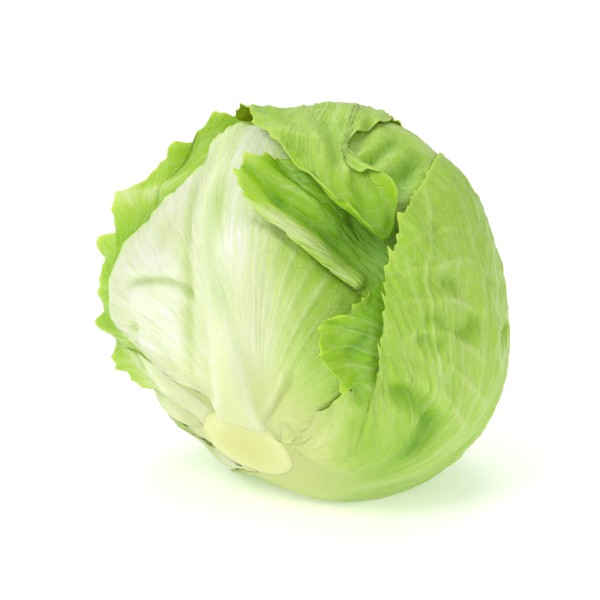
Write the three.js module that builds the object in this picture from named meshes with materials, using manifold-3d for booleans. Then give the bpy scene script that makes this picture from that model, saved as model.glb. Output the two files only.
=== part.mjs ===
// A head of crisp round lettuce, lying on its side with the cut stem towards the front.
// Millimetres, +Z up. The origin is the middle of the flat spot that the head rests on.
// Each wrapper leaf is a thin sheet that starts at the stem and lies over the leaves below it.
// Places on the head are given as two angles: degrees from the stem, and degrees round the stem,
// where 0 is the way up the front of the head and positive is to the right as seen from the front.
import * as THREE from "three";
import { mergeVertices } from "three/addons/utils/BufferGeometryUtils.js";
import Module from "manifold-3d";

const HEART_RADIUS = 70; // mean radius of the packed inner leaves
const CENTRE_HEIGHT = 74.5; // middle of the head above the surface
const HEART_FLAT = 68.9; // distance from the middle to the flattened underside of the heart
const STEM_BELOW_LEVEL = 37.7; // degrees that the stem points below level
const STEM_TO_LEFT = 22.8; // degrees that the stem points to the left of the front
const STEM_CONE = 15; // half angle of the stem, as seen from the middle of the head
const STEM_INNER_END = 34; // distance of the stem's inner end from the middle
const STEM_CUT = 73.8; // distance of the cut face from the middle
const CUT_TILT = 0.14; // slope of the cut face, lower on the left
const LEAF_START = 16.6; // degrees from the stem's axis where the leaves start
const LEAF_THICKNESS = 1.1;
const LEAF_GAP = 1.95; // air between one leaf and the next
const STEP_START = 4; // degrees past a leaf's edge that the leaf above stays at full height
const STEP_WIDTH = 12; // degrees over which a leaf comes down past the edge of one below it
const CURL_ZONE = 15; // width of the margin that curls
const FOLD_SHARE = 0.55; // share of that width that takes the bend
const CURL_CLEARANCE = 4; // degrees from a leaf above within which a margin curls less
const RIB_WIDTH = 6.5; // spread of a midrib that stands out
const VEIN_SPREAD = 1.7; // how late the veins leave the rib

// Low swellings and hollows that make the head less round: [from stem, round stem, rise, spread]
const SWELLINGS = [
  [28, -95, -3, 26], // flatter at the lower left
  [30, -140, -4, 22],
  [105, -48, 1.5, 25],
  [75, 128, 13, 38], // full at the lower right
  [54, -176, 2.4, 27],
  [140, 48, 5.6, 36], // right shoulder
  [128, -5, 1, 30],
];
// The hollow at the front where the wrapper leaves part and the heart shows
const HOLLOW = { at: [79, 36], depth: 13, spread: 12.5 };

// Margin points: [degrees from the stem, degrees round it, outward curl in degrees, frill in mm].
// The leaves are listed from the innermost to the outermost.
const LEAVES = [
  {
    name: "leaf_right_shoulder",
    colour: "#a3cc66",
    base: [128, 32],
    rib: [[16, 128], [59, 111], [117, 102], [124, 94], [120, 64], [108, 38], [94, 22]],
    ribHeight: 0,
    margin: [
      [26, 146, 0, 0], [60, 130, 0, 0], [92, 138, 0, 0], [120, 160, 0, 0], [150, 160, 0, 0],
      [160, 60, 0, 0], [129, 8, 0, 0], [115, 0, 0, 0], [104, 8, 0, 0], [95, 18, 0, 0],
      [89, 28, 0, 0], [85, 38, 0, 0], [86, 48, 0, 0], [96, 58, 0, 0], [98, 78, 0, 0],
      [82, 94, 0, 0], [55, 100, 0, 0], [26, 108, 0, 0],
    ],
    dent: 1,
    cells: [28, 14],
  },
  {
    name: "leaf_left_back",
    colour: "#b4d474",
    base: [-104, 50],
    rib: [[16, -104], [50, -106], [85, -104], [120, -80]],
    ribHeight: 0,
    margin: [
      [24, -76, 0, 0], [48, -70, 0, 0], [78, -62, 0, 0], [105, -40, 0, 0], [122, -22, 0, 0],
      [131, -34, 0, 0], [132, -80, 0, 0], [122, -122, 0, 0], [98, -140, 0, 0], [65, -142, 0, 0],
      [25, -134, 0, 0],
    ],
    dent: 0,
    cells: [20, 10],
  },
  {
    name: "leaf_lower_left",
    colour: "#cbdf9c",
    base: [-60, 60],
    rib: [[16, -60], [38, -64], [62, -76]],
    ribHeight: 0,
    margin: [
      [20, -94, 0, 0], [28, -86, 12, 1], [38, -80, 20, 1.5], [48, -83, 22, 2], [57, -86, 25, 2],
      [65, -84, 15, 2], [74, -74, 0, 0], [70, -50, 0, 0], [55, -38, 0, 0], [38, -30, 0, 0],
      [22, -24, 0, 0],
    ],
    dent: 0,
    cells: [24, 8],
  },
  {
    name: "leaf_left_frill",
    colour: "#b4e03c",
    base: [-30, 18],
    rib: [[16, -30], [47, -40], [70, -50], [100, -37]],
    ribHeight: 0,
    margin: [
      [22, -42, 0, 0], [34, -50, 0, 0], [46, -60, 0, 0], [57, -74, 10, 1], [66, -76, 30, 3],
      [75, -65, 28, 2.5], [83, -55, 34, 2.5], [90, -46, 34, 2.5], [97, -38, 25, 2],
      [105, -30, 10, 1], [112, -22, 0, 0], [109, -8, 0, 0], [90, -2, 0, 0], [66, 0, 0, 0], [42, -6, 0, 0],
      [24, -18, 0, 0],
    ],
    dent: 0,
    cells: [29, 8],
  },
  {
    name: "leaf_front_rib",
    colour: "#d9e8b4",
    base: [22, 94],
    rib: [[16, 3], [34, -1], [51, -5], [64, -9], [76, -12], [90, -13], [106, -13]],
    ribHeight: 5,
    margin: [
      [20, -28, 0, 0], [28, -37, 6, 0.6], [37, -48, 8, 0.8], [48, -56, 5, 0.8], [60, -64, 0, 0.6],
      [69, -60, 0, 0.8], [76, -50, 0, 0.8], [83, -39, 0, 1], [89, -29, 0, 1], [97, -22, 0, 1],
      [105, -18, 20, 1.5], [110, -13, 30, 1.5], [108, -4, 0, 0], [98, 8, 0, 0], [84, 14, 0, 0],
      [76, 24, 0, 0], [72, 36, 0, 0], [70, 50, 0, 0], [62, 66, 0, 0], [48, 76, 0, 0],
      [33, 80, 0, 0], [22, 74, 0, 0],
    ],
    dent: 1,
    cells: [34, 10],
  },
  {
    name: "leaf_inner_flap",
    colour: "#8cc83c",
    base: [81, 18],
    rib: [[16, 84], [43, 76], [62, 66], [76, 45], [80, 28], [84, 10], [86, 1]],
    ribHeight: 0,
    margin: [
      [24, 70, 0, 0], [40, 70, 0, 0], [54, 62, 0, 0], [62, 52, 0, 0], [65, 42, 0, 0],
      [67.5, 30, 0, 0], [70.5, 19, 0, 0.2], [74, 9, 5, 0.8], [76, 3, 15, 2.5],
      [81, -2, 40, 5], [86, -4, 45, 5.5], [91, -1, 45, 5.5], [94, 4, 30, 3], [95, 14, 0, 0],
      [93, 28, 0, 0], [90, 42, 0, 0], [80, 56, 0, 0], [66, 72, 0, 0], [44, 84, 0, 0],
      [25, 92, 0, 0],
    ],
    dent: 1,
    cells: [34, 10],
  },
  {
    name: "leaf_top",
    colour: "#a6cc6a",
    base: [-128, 14],
    rib: [[16, -128], [62, -129], [113, -131], [152, -109], [156, -13], [134, 7], [96, 15], [80, 41]],
    ribHeight: 0,
    margin: [
      [26, -120, 0, 0], [55, -112, 5, 1], [85, -106, 10, 2], [108, -96, 15, 2], [124, -74, 15, 2],
      [128, -48, 10, 2], [121, -24, 8, 0.6], [114, -13, 12, 1], [107, -8, 25, 2],
      [99, -2, 15, 2], [95, 5, 25, 2.5],
      [89, 11, 35, 3], [87, 17, 25, 2], [84, 25, 30, 2], [79.5, 35, 45, 2.5], [82, 42, 50, 2.5],
      [89, 42, 50, 2.5], [97, 35, 30, 2], [96, 26, 8, 1], [103, 22, 5, 0.8], [112, 21, 5, 0.6],
      [121, 24, 3, 0.6], [131, 30, 0, 0.5], [142, 35, 0, 0.5], [152, 50, 0, 0.4], [158, 110, 0, 0],
      [142, 172, 0, 0], [115, -162, 0, 0], [84, -148, 0, 0], [54, -138, 0, 0], [26, -136, 0, 0],
    ],
    dent: 0.3,
    cells: [44, 16],
  },
  {
    name: "leaf_right_frill",
    colour: "#86c430",
    base: [104, 26],
    rib: [[16, 104], [32, 99], [58, 63], [55, 32]],
    ribHeight: 0,
    margin: [
      [24, 90, 0, 0], [34, 80, 0, 0], [41, 66, 10, 0.5], [42, 56, 40, 3], [39.5, 48, 50, 4],
      [41, 40, 55, 4.5], [45, 33, 52, 4.5], [51, 29, 46, 4], [55, 34, 36, 3.5], [60, 40, 25, 2.5],
      [67, 44, 10, 1], [78, 51, 0, 0], [86, 66, 0, 0], [82, 84, 0, 0], [66, 98, 0, 0],
      [44, 108, 0, 0], [25, 118, 0, 0],
    ],
    dent: 0.6,
    cells: [29, 8],
  },
  {
    name: "leaf_underside_back",
    colour: "#b9d47c",
    base: [-176, 50],
    rib: [[16, -176], [60, 178], [100, 178], [124, -178]],
    ribHeight: 2,
    margin: [
      [24, 158, 0, 0], [45, 150, 0, 0], [70, 150, 0, 0], [95, 156, 12, 1.6], [117, 166, 18, 2.4],
      [130, -176, 20, 2.6], [126, -156, 20, 2.6], [111, -142, 20, 2.6], [86, -136, 18, 2.4],
      [62, -132, 10, 1.6], [38, -134, 0, 0.8], [23, -146, 0, 0],
    ],
    dent: 0,
    cells: [26, 10],
  },
  {
    name: "leaf_right_wrapper",
    colour: "#a6cc62",
    base: [121, 146],
    rib: [[16, 120], [40, 125], [62, 111], [82, 92], [110, 76]],
    ribHeight: 0,
    margin: [
      [19, 45, 0, 0], [23, 54, 0, 0.3], [28, 60, 0, 0.4], [33, 61, 0, 0.5], [39, 60, 0, 0.5],
      [44, 62, 3, 0.5], [47, 64, 6, 0.6], [49, 61, 10, 0.9], [53, 56, 12, 1], [59, 51, 12, 1],
      [66, 47, 10, 0.9], [73, 43, 8, 0.8], [81, 42, 6, 0.7], [89, 41.5, 4, 0.6], [98, 43.5, 2, 0.5],
      [109, 46.5, 0, 0.4], [121, 50, 0, 0.3], [134, 56, 0, 0.3], [146, 70, 0, 0.4], [148, 98, 0, 0.6],
      [136, 126, 5, 1], [117, 144, 10, 1.3], [99, 160, 15, 1.6], [84, 176, 15, 1.6], [70, -164, 12, 1.6],
      [50, -152, 6, 1], [32, -152, 0, 0.5], [20, -162, 0, 0],
    ],
    dent: 0,
    cells: [50, 14],
  },
];

const RADIANS = Math.PI / 180;

// The stem's direction out of the head, and the two directions that the angle round it turns between
const tilt = STEM_BELOW_LEVEL * RADIANS;
const turn = STEM_TO_LEFT * RADIANS;
const stemAxis = new THREE.Vector3(
  -Math.sin(turn) * Math.cos(tilt),
  -Math.cos(turn) * Math.cos(tilt),
  -Math.sin(tilt),
);
const upFront = new THREE.Vector3(0, 0, 1).addScaledVector(stemAxis, -stemAxis.z).normalize();
const toRight = upFront.clone().cross(stemAxis);

function direction(fromStem, roundStem) {
  const a = fromStem * RADIANS;
  const b = roundStem * RADIANS;
  return stemAxis
    .clone()
    .multiplyScalar(Math.cos(a))
    .addScaledVector(upFront, Math.sin(a) * Math.cos(b))
    .addScaledVector(toRight, Math.sin(a) * Math.sin(b));
}

const degreesBetween = (p, q) => Math.acos(THREE.MathUtils.clamp(p.dot(q), -1, 1)) / RADIANS;

function smooth(x) {
  const t = THREE.MathUtils.clamp(x, 0, 1);
  return t * t * (3 - 2 * t);
}

// The point a share t of the way along the great circle from p to q
function along(p, q, t) {
  const angle = Math.acos(THREE.MathUtils.clamp(p.dot(q), -1, 1));
  if (angle < 1e-5) return p.clone();
  const s = Math.sin(angle);
  return p
    .clone()
    .multiplyScalar(Math.sin((1 - t) * angle) / s)
    .addScaledVector(q, Math.sin(t * angle) / s)
    .normalize();
}

const swellings = SWELLINGS.map(([a, b, rise, spread]) => ({ at: direction(a, b), rise, spread }));
const hollowAt = direction(...HOLLOW.at);

// Radius of the heart in a direction, with a share of the front hollow
function heartRadius(dir, dent) {
  let r = HEART_RADIUS;
  for (const s of swellings) r += s.rise * Math.exp(-((degreesBetween(dir, s.at) / s.spread) ** 2));
  r -= dent * HOLLOW.depth * Math.exp(-((degreesBetween(dir, hollowAt) / HOLLOW.spread) ** 2));
  if (dir.z > -0.5) return r;
  const flat = HEART_FLAT / -dir.z;
  const overlap = Math.max(0, 3 - Math.abs(r - flat));
  return Math.min(r, flat) - (overlap * overlap) / 12;
}

// A closed-form random number from 0 to 1 for a whole number
const random = (n) => {
  const x = Math.sin(n * 127.1 + 11.7) * 43758.5453;
  return x - Math.floor(x);
};

// A curve through points, in equal steps of its length, each with its further numbers
function curveThrough(points, count) {
  const curve = new THREE.CatmullRomCurve3(
    points.map(([a, b]) => direction(a, b)),
    false,
    "centripetal",
  );
  const extra = (k) =>
    new THREE.SplineCurve(points.map((p, i) => new THREE.Vector2(i, p[k] || 0)));
  const curl = extra(2);
  const frill = extra(3);
  const made = [];
  for (let i = 0; i <= count; i++) {
    const t = curve.getUtoTmapping(i / count);
    made.push({
      dir: curve.getPoint(t).normalize(),
      curl: curl.getPoint(t).y * RADIANS,
      frill: Math.max(0, frill.getPoint(t).y),
    });
  }
  return made;
}

// A leaf's outline, flattened round its own middle, to tell how far a direction lies outside it
function outlineOf(leaf) {
  const rim = [...leaf.baseLine, ...leaf.edge.map((e) => e.dir)];
  const middle = rim.reduce((sum, d) => sum.add(d), new THREE.Vector3()).normalize();
  const x = new THREE.Vector3(0, 0, 1).cross(middle).normalize();
  const y = middle.clone().cross(x);
  const flatten = (dir) => {
    const out = dir.clone().addScaledVector(middle, -dir.dot(middle));
    const length = out.length() || 1;
    const d = degreesBetween(dir, middle);
    return [(d * out.dot(x)) / length, (d * out.dot(y)) / length];
  };
  return { flatten, points: rim.map(flatten) };
}

// Degrees from a direction to a leaf's outline, negative inside it
function degreesOutside(outline, dir) {
  const [px, py] = outline.flatten(dir);
  const { points } = outline;
  let inside = false;
  let nearest = Infinity;
  for (let i = 0, j = points.length - 1; i < points.length; j = i++) {
    const [ax, ay] = points[j];
    const [bx, by] = points[i];
    if (ay > py !== by > py && px < ((bx - ax) * (py - ay)) / (by - ay) + ax) inside = !inside;
    const ex = bx - ax;
    const ey = by - ay;
    const t = THREE.MathUtils.clamp(
      ((px - ax) * ex + (py - ay) * ey) / (ex * ex + ey * ey || 1), 0, 1);
    nearest = Math.min(nearest, Math.hypot(px - ax - t * ex, py - ay - t * ey));
  }
  return inside ? -nearest : nearest;
}

// 1 inside a leaf's outline and up to a start outside it, then down to 0 over a width, in degrees
const coverage = (leaf, dir, start, width) =>
  smooth(1 - (degreesOutside(leaf.outline, dir) - start) / width);

// How high a leaf lies above the heart, from the leaves under it
function layerHeight(index, dir) {
  let height = LEAF_GAP;
  for (let j = 0; j < index; j++)
    height += (LEAF_THICKNESS + LEAF_GAP) * coverage(LEAVES[j], dir, STEP_START, STEP_WIDTH);
  return height;
}

// 1 where nothing lies over a leaf, down to 0 within a width of degrees from one that does
function exposure(index, dir, width) {
  let open = 1;
  for (let j = index + 1; j < LEAVES.length; j++) open *= 1 - coverage(LEAVES[j], dir, 0, width);
  return open;
}

// The point of a leaf's rib at a share of its length
function ribAt(leaf, share) {
  const line = leaf.ribLine;
  const place = THREE.MathUtils.clamp(share, 0, 1) * (line.length - 1);
  const first = Math.min(line.length - 2, Math.floor(place));
  return line[first].dir.clone().lerp(line[first + 1].dir, place - first).normalize();
}

// For each vein, the share of the rib that it follows before it ends at the margin
function veinShares(leaf) {
  let shares = leaf.edge.map(({ dir }) => {
    let nearest = 0;
    leaf.ribLine.forEach((p, k) => {
      if (p.dir.dot(dir) > leaf.ribLine[nearest].dir.dot(dir)) nearest = k;
    });
    return nearest / (leaf.ribLine.length - 1);
  });
  const inside = (k) => shares[THREE.MathUtils.clamp(k, 0, shares.length - 1)];
  for (let pass = 0; pass < 3; pass++)
    shares = shares.map((own, i) => (inside(i - 1) + 2 * own + inside(i + 1)) / 4);
  return shares;
}

// The surface of a leaf: points of its middle in rows that run as veins from the stem to the margin
function leafRows(leaf, index) {
  const [acrossCells, alongCells] = leaf.cells;
  const shares = veinShares(leaf);
  const rows = [];
  let marginLength = 0;
  for (let i = 0; i <= acrossCells; i++) {
    const { dir: tip, curl, frill } = leaf.edge[i];
    if (i) marginLength += degreesBetween(tip, leaf.edge[i - 1].dir) * RADIANS * HEART_RADIUS;
    const toTip = tip.clone().sub(ribAt(leaf, shares[i]));
    const toStart = leaf.baseLine[acrossCells - i].clone().sub(ribAt(leaf, 0));
    const place = (s) =>
      ribAt(leaf, s * shares[i])
        .addScaledVector(toTip, Math.max(0, s) ** VEIN_SPREAD)
        .addScaledVector(toStart, 1 - s)
        .normalize();
    let veinLength = 0;
    for (let k = 0; k < 20; k++)
      veinLength += degreesBetween(place(k / 20), place((k + 1) / 20)) * RADIANS * HEART_RADIUS;
    const wave =
      0.5 +
      0.31 * Math.sin((marginLength / 27 + random(index)) * 2 * Math.PI) +
      0.19 * Math.sin((marginLength / 17 + random(index + 40)) * 2 * Math.PI);
    const open = exposure(index, tip, CURL_CLEARANCE);
    let zone = 1;
    while (zone < CURL_ZONE && exposure(index, place(1 - (zone + 2) / veinLength), 1) > 0.99) zone += 1;
    const row = [];
    for (let j = 0; j <= alongCells; j++) {
      const s = 1 - (1 - j / alongCells) ** 1.25;
      const intoZone = Math.max(0, zone - (1 - s) * veinLength);
      let across = 0;
      let rise = 0;
      const steps = 8;
      for (let k = 0; k < steps; k++) {
        const share = (((k + 0.5) / steps) * intoZone) / (zone * FOLD_SHARE);
        const angle = curl * open * (0.8 + 0.4 * wave) * smooth(share);
        across += (Math.cos(angle) * intoZone) / steps;
        rise += (Math.sin(angle) * intoZone) / steps;
      }
      const dir = place(s - (intoZone - across) / veinLength);
      rise += 1.5 * frill * open * wave * (intoZone / zone) ** 1.6;
      const height = heartRadius(dir, leaf.dent) + layerHeight(index, dir) + LEAF_THICKNESS / 2;
      const fromRib = degreesBetween(dir, ribAt(leaf, s * shares[i])) * RADIANS * HEART_RADIUS;
      const point = dir.clone().multiplyScalar(height + rise);
      row.push({ dir, point, fromRib, alongRib: s * shares[i] });
    }
    rows.push(row);
  }
  return rows;
}

// A closed sheet with two alike faces from rows of mid-surface points
function leafGeometry(leaf, index) {
  const rows = leafRows(leaf, index);
  const last = rows.length - 1;
  const end = rows[0].length - 1;
  const positions = [];
  const faces = [];
  const turned = Math.sin((leaf.margin[0][1] - leaf.base[0]) * RADIANS) < 0;
  const at = (i, j, side) => 2 * ((turned ? last - i : i) * (end + 1) + j) + side;
  rows.forEach((row, i) =>
    row.forEach(({ dir, point, fromRib, alongRib }, j) => {
      const acrossStep = rows[Math.min(last, i + 1)][j].point.clone()
        .sub(rows[Math.max(0, i - 1)][j].point);
      const alongStep = row[Math.min(end, j + 1)].point.clone().sub(row[Math.max(0, j - 1)].point);
      const normal = alongStep.cross(acrossStep).normalize();
      if (normal.dot(dir) < 0) normal.negate();
      const ribShape = (1 - 0.8 * alongRib) * Math.exp(-((fromRib / RIB_WIDTH) ** 2));
      const ribRise = leaf.ribHeight * ribShape * exposure(index, dir, CURL_CLEARANCE);
      const outer = point.clone().addScaledVector(normal, LEAF_THICKNESS / 2 + ribRise);
      const inner = point.clone().addScaledVector(normal, -LEAF_THICKNESS / 2);
      outer.z = Math.max(outer.z, -CENTRE_HEIGHT);
      inner.z = Math.max(inner.z, -CENTRE_HEIGHT + LEAF_THICKNESS);
      positions.push(...outer.toArray(), ...inner.toArray());
    }),
  );
  const quad = (a, b, c, d) => faces.push(a, b, c, a, c, d);
  for (let i = 0; i < last; i++)
    for (let j = 0; j < end; j++) {
      quad(at(i, j, 0), at(i, j + 1, 0), at(i + 1, j + 1, 0), at(i + 1, j, 0));
      faces.push(at(i, j, 1), at(i + 1, j + 1, 1), at(i, j + 1, 1));
      faces.push(at(i, j, 1), at(i + 1, j, 1), at(i + 1, j + 1, 1));
    }
  for (let i = 0; i < last; i++) {
    quad(at(i, 0, 0), at(i + 1, 0, 0), at(i + 1, 0, 1), at(i, 0, 1));
    quad(at(i, end, 0), at(i, end, 1), at(i + 1, end, 1), at(i + 1, end, 0));
  }
  for (let j = 0; j < end; j++) {
    quad(at(0, j, 0), at(0, j, 1), at(0, j + 1, 1), at(0, j + 1, 0));
    quad(at(last, j, 0), at(last, j + 1, 0), at(last, j + 1, 1), at(last, j, 1));
  }
  return geometryOf(positions, faces);
}

function geometryOf(positions, faces) {
  const geometry = new THREE.BufferGeometry();
  geometry.setAttribute("position", new THREE.Float32BufferAttribute(positions, 3));
  geometry.setIndex(faces);
  return geometry;
}

// The packed inner leaves: a ball whose surface steps down where one inner leaf ends on the next
function heartGeometry() {
  const ROUND = 36;
  const DOWN = 18;
  const LEAF_STEP = 1.6;
  const positions = [];
  const faces = [];
  const pointAt = (a, b) => {
    const dir = direction(a, b);
    const edges = ((b + 0.9 * a + 720) % 90) / 90;
    return dir.multiplyScalar(heartRadius(dir, 1) - 1.6 - LEAF_STEP * edges * Math.sin(a * RADIANS));
  };
  positions.push(...pointAt(0, 0).toArray());
  for (let j = 1; j < DOWN; j++)
    for (let i = 0; i < ROUND; i++)
      positions.push(...pointAt((180 * j) / DOWN, (360 * i) / ROUND).toArray());
  positions.push(...pointAt(180, 0).toArray());
  const at = (j, i) => 1 + (j - 1) * ROUND + (i % ROUND);
  const lastPole = positions.length / 3 - 1;
  for (let i = 0; i < ROUND; i++) {
    faces.push(0, at(1, i + 1), at(1, i));
    faces.push(lastPole, at(DOWN - 1, i), at(DOWN - 1, i + 1));
    for (let j = 1; j < DOWN - 1; j++) {
      faces.push(at(j, i), at(j, i + 1), at(j + 1, i + 1));
      faces.push(at(j, i), at(j + 1, i + 1), at(j + 1, i));
    }
  }
  return geometryOf(positions, faces);
}

// The stem: a cone that widens outwards to the cut face, which slopes a little
function stemGeometry(halfAngle, innerEnd, cutAt) {
  const SIDES = 32;
  const spread = Math.tan(halfAngle * RADIANS);
  const levels = [innerEnd, (innerEnd + cutAt) / 2, cutAt - 3, cutAt];
  const positions = [];
  const faces = [];
  positions.push(...stemAxis.clone().multiplyScalar(innerEnd).toArray());
  levels.forEach((level, k) => {
    const narrowing = k === levels.length - 1 ? 0.955 : 1;
    for (let i = 0; i < SIDES; i++) {
      const turnTo = (2 * Math.PI * i) / SIDES;
      const radius = level * spread * narrowing;
      const sloped = k >= 2 ? radius * CUT_TILT * Math.sin(turnTo) : 0;
      const point = stemAxis.clone().multiplyScalar(level + sloped)
        .addScaledVector(upFront, radius * Math.cos(turnTo))
        .addScaledVector(toRight, radius * Math.sin(turnTo));
      positions.push(...point.toArray());
    }
  });
  positions.push(...stemAxis.clone().multiplyScalar(cutAt + 0.6).toArray());
  const at = (k, i) => 1 + k * SIDES + (i % SIDES);
  const face = positions.length / 3 - 1;
  for (let i = 0; i < SIDES; i++) {
    faces.push(0, at(0, i), at(0, i + 1));
    faces.push(face, at(levels.length - 1, i + 1), at(levels.length - 1, i));
    for (let k = 0; k < levels.length - 1; k++) {
      faces.push(at(k, i), at(k + 1, i), at(k + 1, i + 1));
      faces.push(at(k, i), at(k + 1, i + 1), at(k, i + 1));
    }
  }
  return geometryOf(positions, faces);
}

const wasm = await Module();
wasm.setup();

// A closed solid with its faces outwards from a geometry
function solidOf(geometry) {
  const merged = mergeVertices(geometry, 1e-4);
  return new wasm.Manifold(
    new wasm.Mesh({
      numProp: 3,
      vertProperties: new Float32Array(merged.attributes.position.array),
      triVerts: new Uint32Array(merged.index.array),
    }),
  );
}

function geometryFromSolid(solid) {
  const mesh = solid.getMesh();
  return geometryOf(Array.from(mesh.vertProperties), Array.from(mesh.triVerts));
}

function meshOf(name, geometry, colour) {
  const material = new THREE.MeshStandardMaterial({ color: colour, roughness: 0.45, metalness: 0 });
  const mesh = new THREE.Mesh(geometry, material);
  mesh.name = name;
  return mesh;
}

for (const leaf of LEAVES) {
  const [middle, width] = leaf.base;
  const [acrossCells] = leaf.cells;
  const side = Math.sign(Math.sin((leaf.margin[0][1] - middle) * RADIANS));
  leaf.baseLine = Array.from({ length: acrossCells + 1 }, (_, i) =>
    direction(LEAF_START, middle + side * width * (i / acrossCells - 0.5)),
  );
  leaf.edge = curveThrough(leaf.margin, acrossCells);
  leaf.ribLine = curveThrough(leaf.rib, 24);
}
for (const leaf of LEAVES) leaf.outline = outlineOf(leaf);

const head = new THREE.Group();
head.position.z = CENTRE_HEIGHT;
head.add(meshOf("stem", stemGeometry(STEM_CONE, STEM_INNER_END, STEM_CUT), "#dde08c"));
const socket = stemGeometry(STEM_CONE + 0.7, STEM_INNER_END - 0.6, STEM_CUT + 20);
const heart = solidOf(heartGeometry()).subtract(solidOf(socket));
head.add(meshOf("heart", geometryFromSolid(heart), "#8fc048"));
LEAVES.forEach((leaf, index) => head.add(meshOf(leaf.name, leafGeometry(leaf, index), leaf.colour)));

export default head;
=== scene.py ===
import math

import bmesh
import bpy
import numpy as np
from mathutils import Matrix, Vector


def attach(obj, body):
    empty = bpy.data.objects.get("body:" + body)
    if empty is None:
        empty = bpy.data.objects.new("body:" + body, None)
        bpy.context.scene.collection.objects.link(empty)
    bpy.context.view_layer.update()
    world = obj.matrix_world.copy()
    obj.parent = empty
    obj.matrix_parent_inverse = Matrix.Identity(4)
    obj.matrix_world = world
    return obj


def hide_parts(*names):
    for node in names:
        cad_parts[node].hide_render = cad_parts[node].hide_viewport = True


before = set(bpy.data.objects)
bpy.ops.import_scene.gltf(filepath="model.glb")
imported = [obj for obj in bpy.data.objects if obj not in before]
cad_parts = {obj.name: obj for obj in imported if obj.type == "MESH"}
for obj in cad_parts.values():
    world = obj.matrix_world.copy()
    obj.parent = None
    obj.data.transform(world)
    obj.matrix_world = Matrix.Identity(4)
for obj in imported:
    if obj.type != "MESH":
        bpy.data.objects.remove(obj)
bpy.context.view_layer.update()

bl_info = {
    "name": "Head of Lettuce",
    "version": (1, 0, 0),
    "blender": (4, 5, 0),
    "location": "View3D > Sidebar > Lettuce",
    "description": "Builds a head of crisp lettuce with loose outer leaves, and a plain stage for it",
    "category": "Object",
}

MM = 0.001

# Sizes of the head, in millimetres and degrees, and shares of them
HEART_RADIUS = 70.0
CENTRE_HEIGHT = 74.5
HEART_FLAT = 68.9
STEM_BELOW_LEVEL = 37.7
STEM_TO_LEFT = 22.8
STEM_CONE = 15.0
STEM_INNER_END = 34.0
STEM_CUT = 73.8
CUT_TILT = 0.14
LEAF_START = 14.1
LAYER = 3.05
LEAF_GAP = 1.95
STEP_START = 4.0
STEP_WIDTH = 12.0
CURL_CLEARANCE = 4.0
CURL_ZONE = 15.0
FOLD_SHARE = 0.55
FULL_FRILL = 1.5
MARGIN_FREE_FROM = 24.0
MARGIN_FREE_WIDTH = 14.0
MARGIN_SINK = 1.7
MARGIN_SINK_WIDTH = 12.0
STANDING_CURL = 22.0
TOOTH_PITCH = 1.5
VEIN_SPREAD = 1.7
LEAF_THICKNESS = 1.1
LEAF_THINNING = 0.7
THIN_FROM = 0.4
ON_GROUND_THICKNESS = 0.7
RIM_DROP = 2.0
RIM_STEP = 0.14
JOIN_END = 31.0
JOIN_WIDTH = 15.0
PASSED_ON_DEPTH = 1.5
PASSED_ON_WIDTH = 6.0

# The midrib of the front leaf: what it has all along, more in its lower part, more at the stem
MIDRIB_HALF_WIDTH = (4.2, 3.4, 3.0)
MIDRIB_HEIGHT = (1.4, 3.4)

# The ball of inner leaves under the wrapper leaves, and the face of the cut stem
HEART_INSET = 1.6
HEART_STEP = 1.6
SOCKET_CLEARANCE = 1.2
STEM_SHOULDER = 2.6
CUT_ROUNDING = 0.9
CUT_DOME = 0.5
CUT_GROOVE = 0.35

# How finely lines, margins and surfaces are divided
CURVE_STEPS = 24
RIB_STEPS = 48
MARGIN_STEPS = 1200
OUTLINE_STEPS = 64
LENGTH_STEPS = 20
BEND_STEPS = 10
LINE_STEPS = 120
HEART_CELLS = (110, 220)
STEM_CELLS = (120, 26)

# The view of the picture: distance in metres, angle above the ground in degrees
VIEW_DISTANCE = 1.1
VIEW_ABOVE = 15.0

# Waves along a margin, each with its pitch in millimetres and its share
LOBES = ((14, 0.5), (8, 0.3), (5.2, 0.16))
TEETH_DRIFT = ((31, 0.6), (19, 0.4))
FRILLS = ((25, 0.42), (15, 0.3), (8.5, 0.18), (5.1, 0.1))

# Low swellings and hollows of the whole head: from the stem, round the stem, rise, spread
SWELLINGS = (
    (28, -95, -3, 26),
    (30, -140, -4, 22),
    (105, -48, 1.5, 25),
    (75, 128, 13, 38),
    (54, -176, 2.4, 27),
    (140, 48, 5.6, 36),
    (128, -5, 1, 30),
)
HOLLOW_AT = (79, 36)
HOLLOW_DEPTH = 13.0
HOLLOW_SPREAD = 12.5
# Spread of the shade painted as darker green in the front hollow
HOLLOW_SHADE_SPREAD = 15.0

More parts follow.
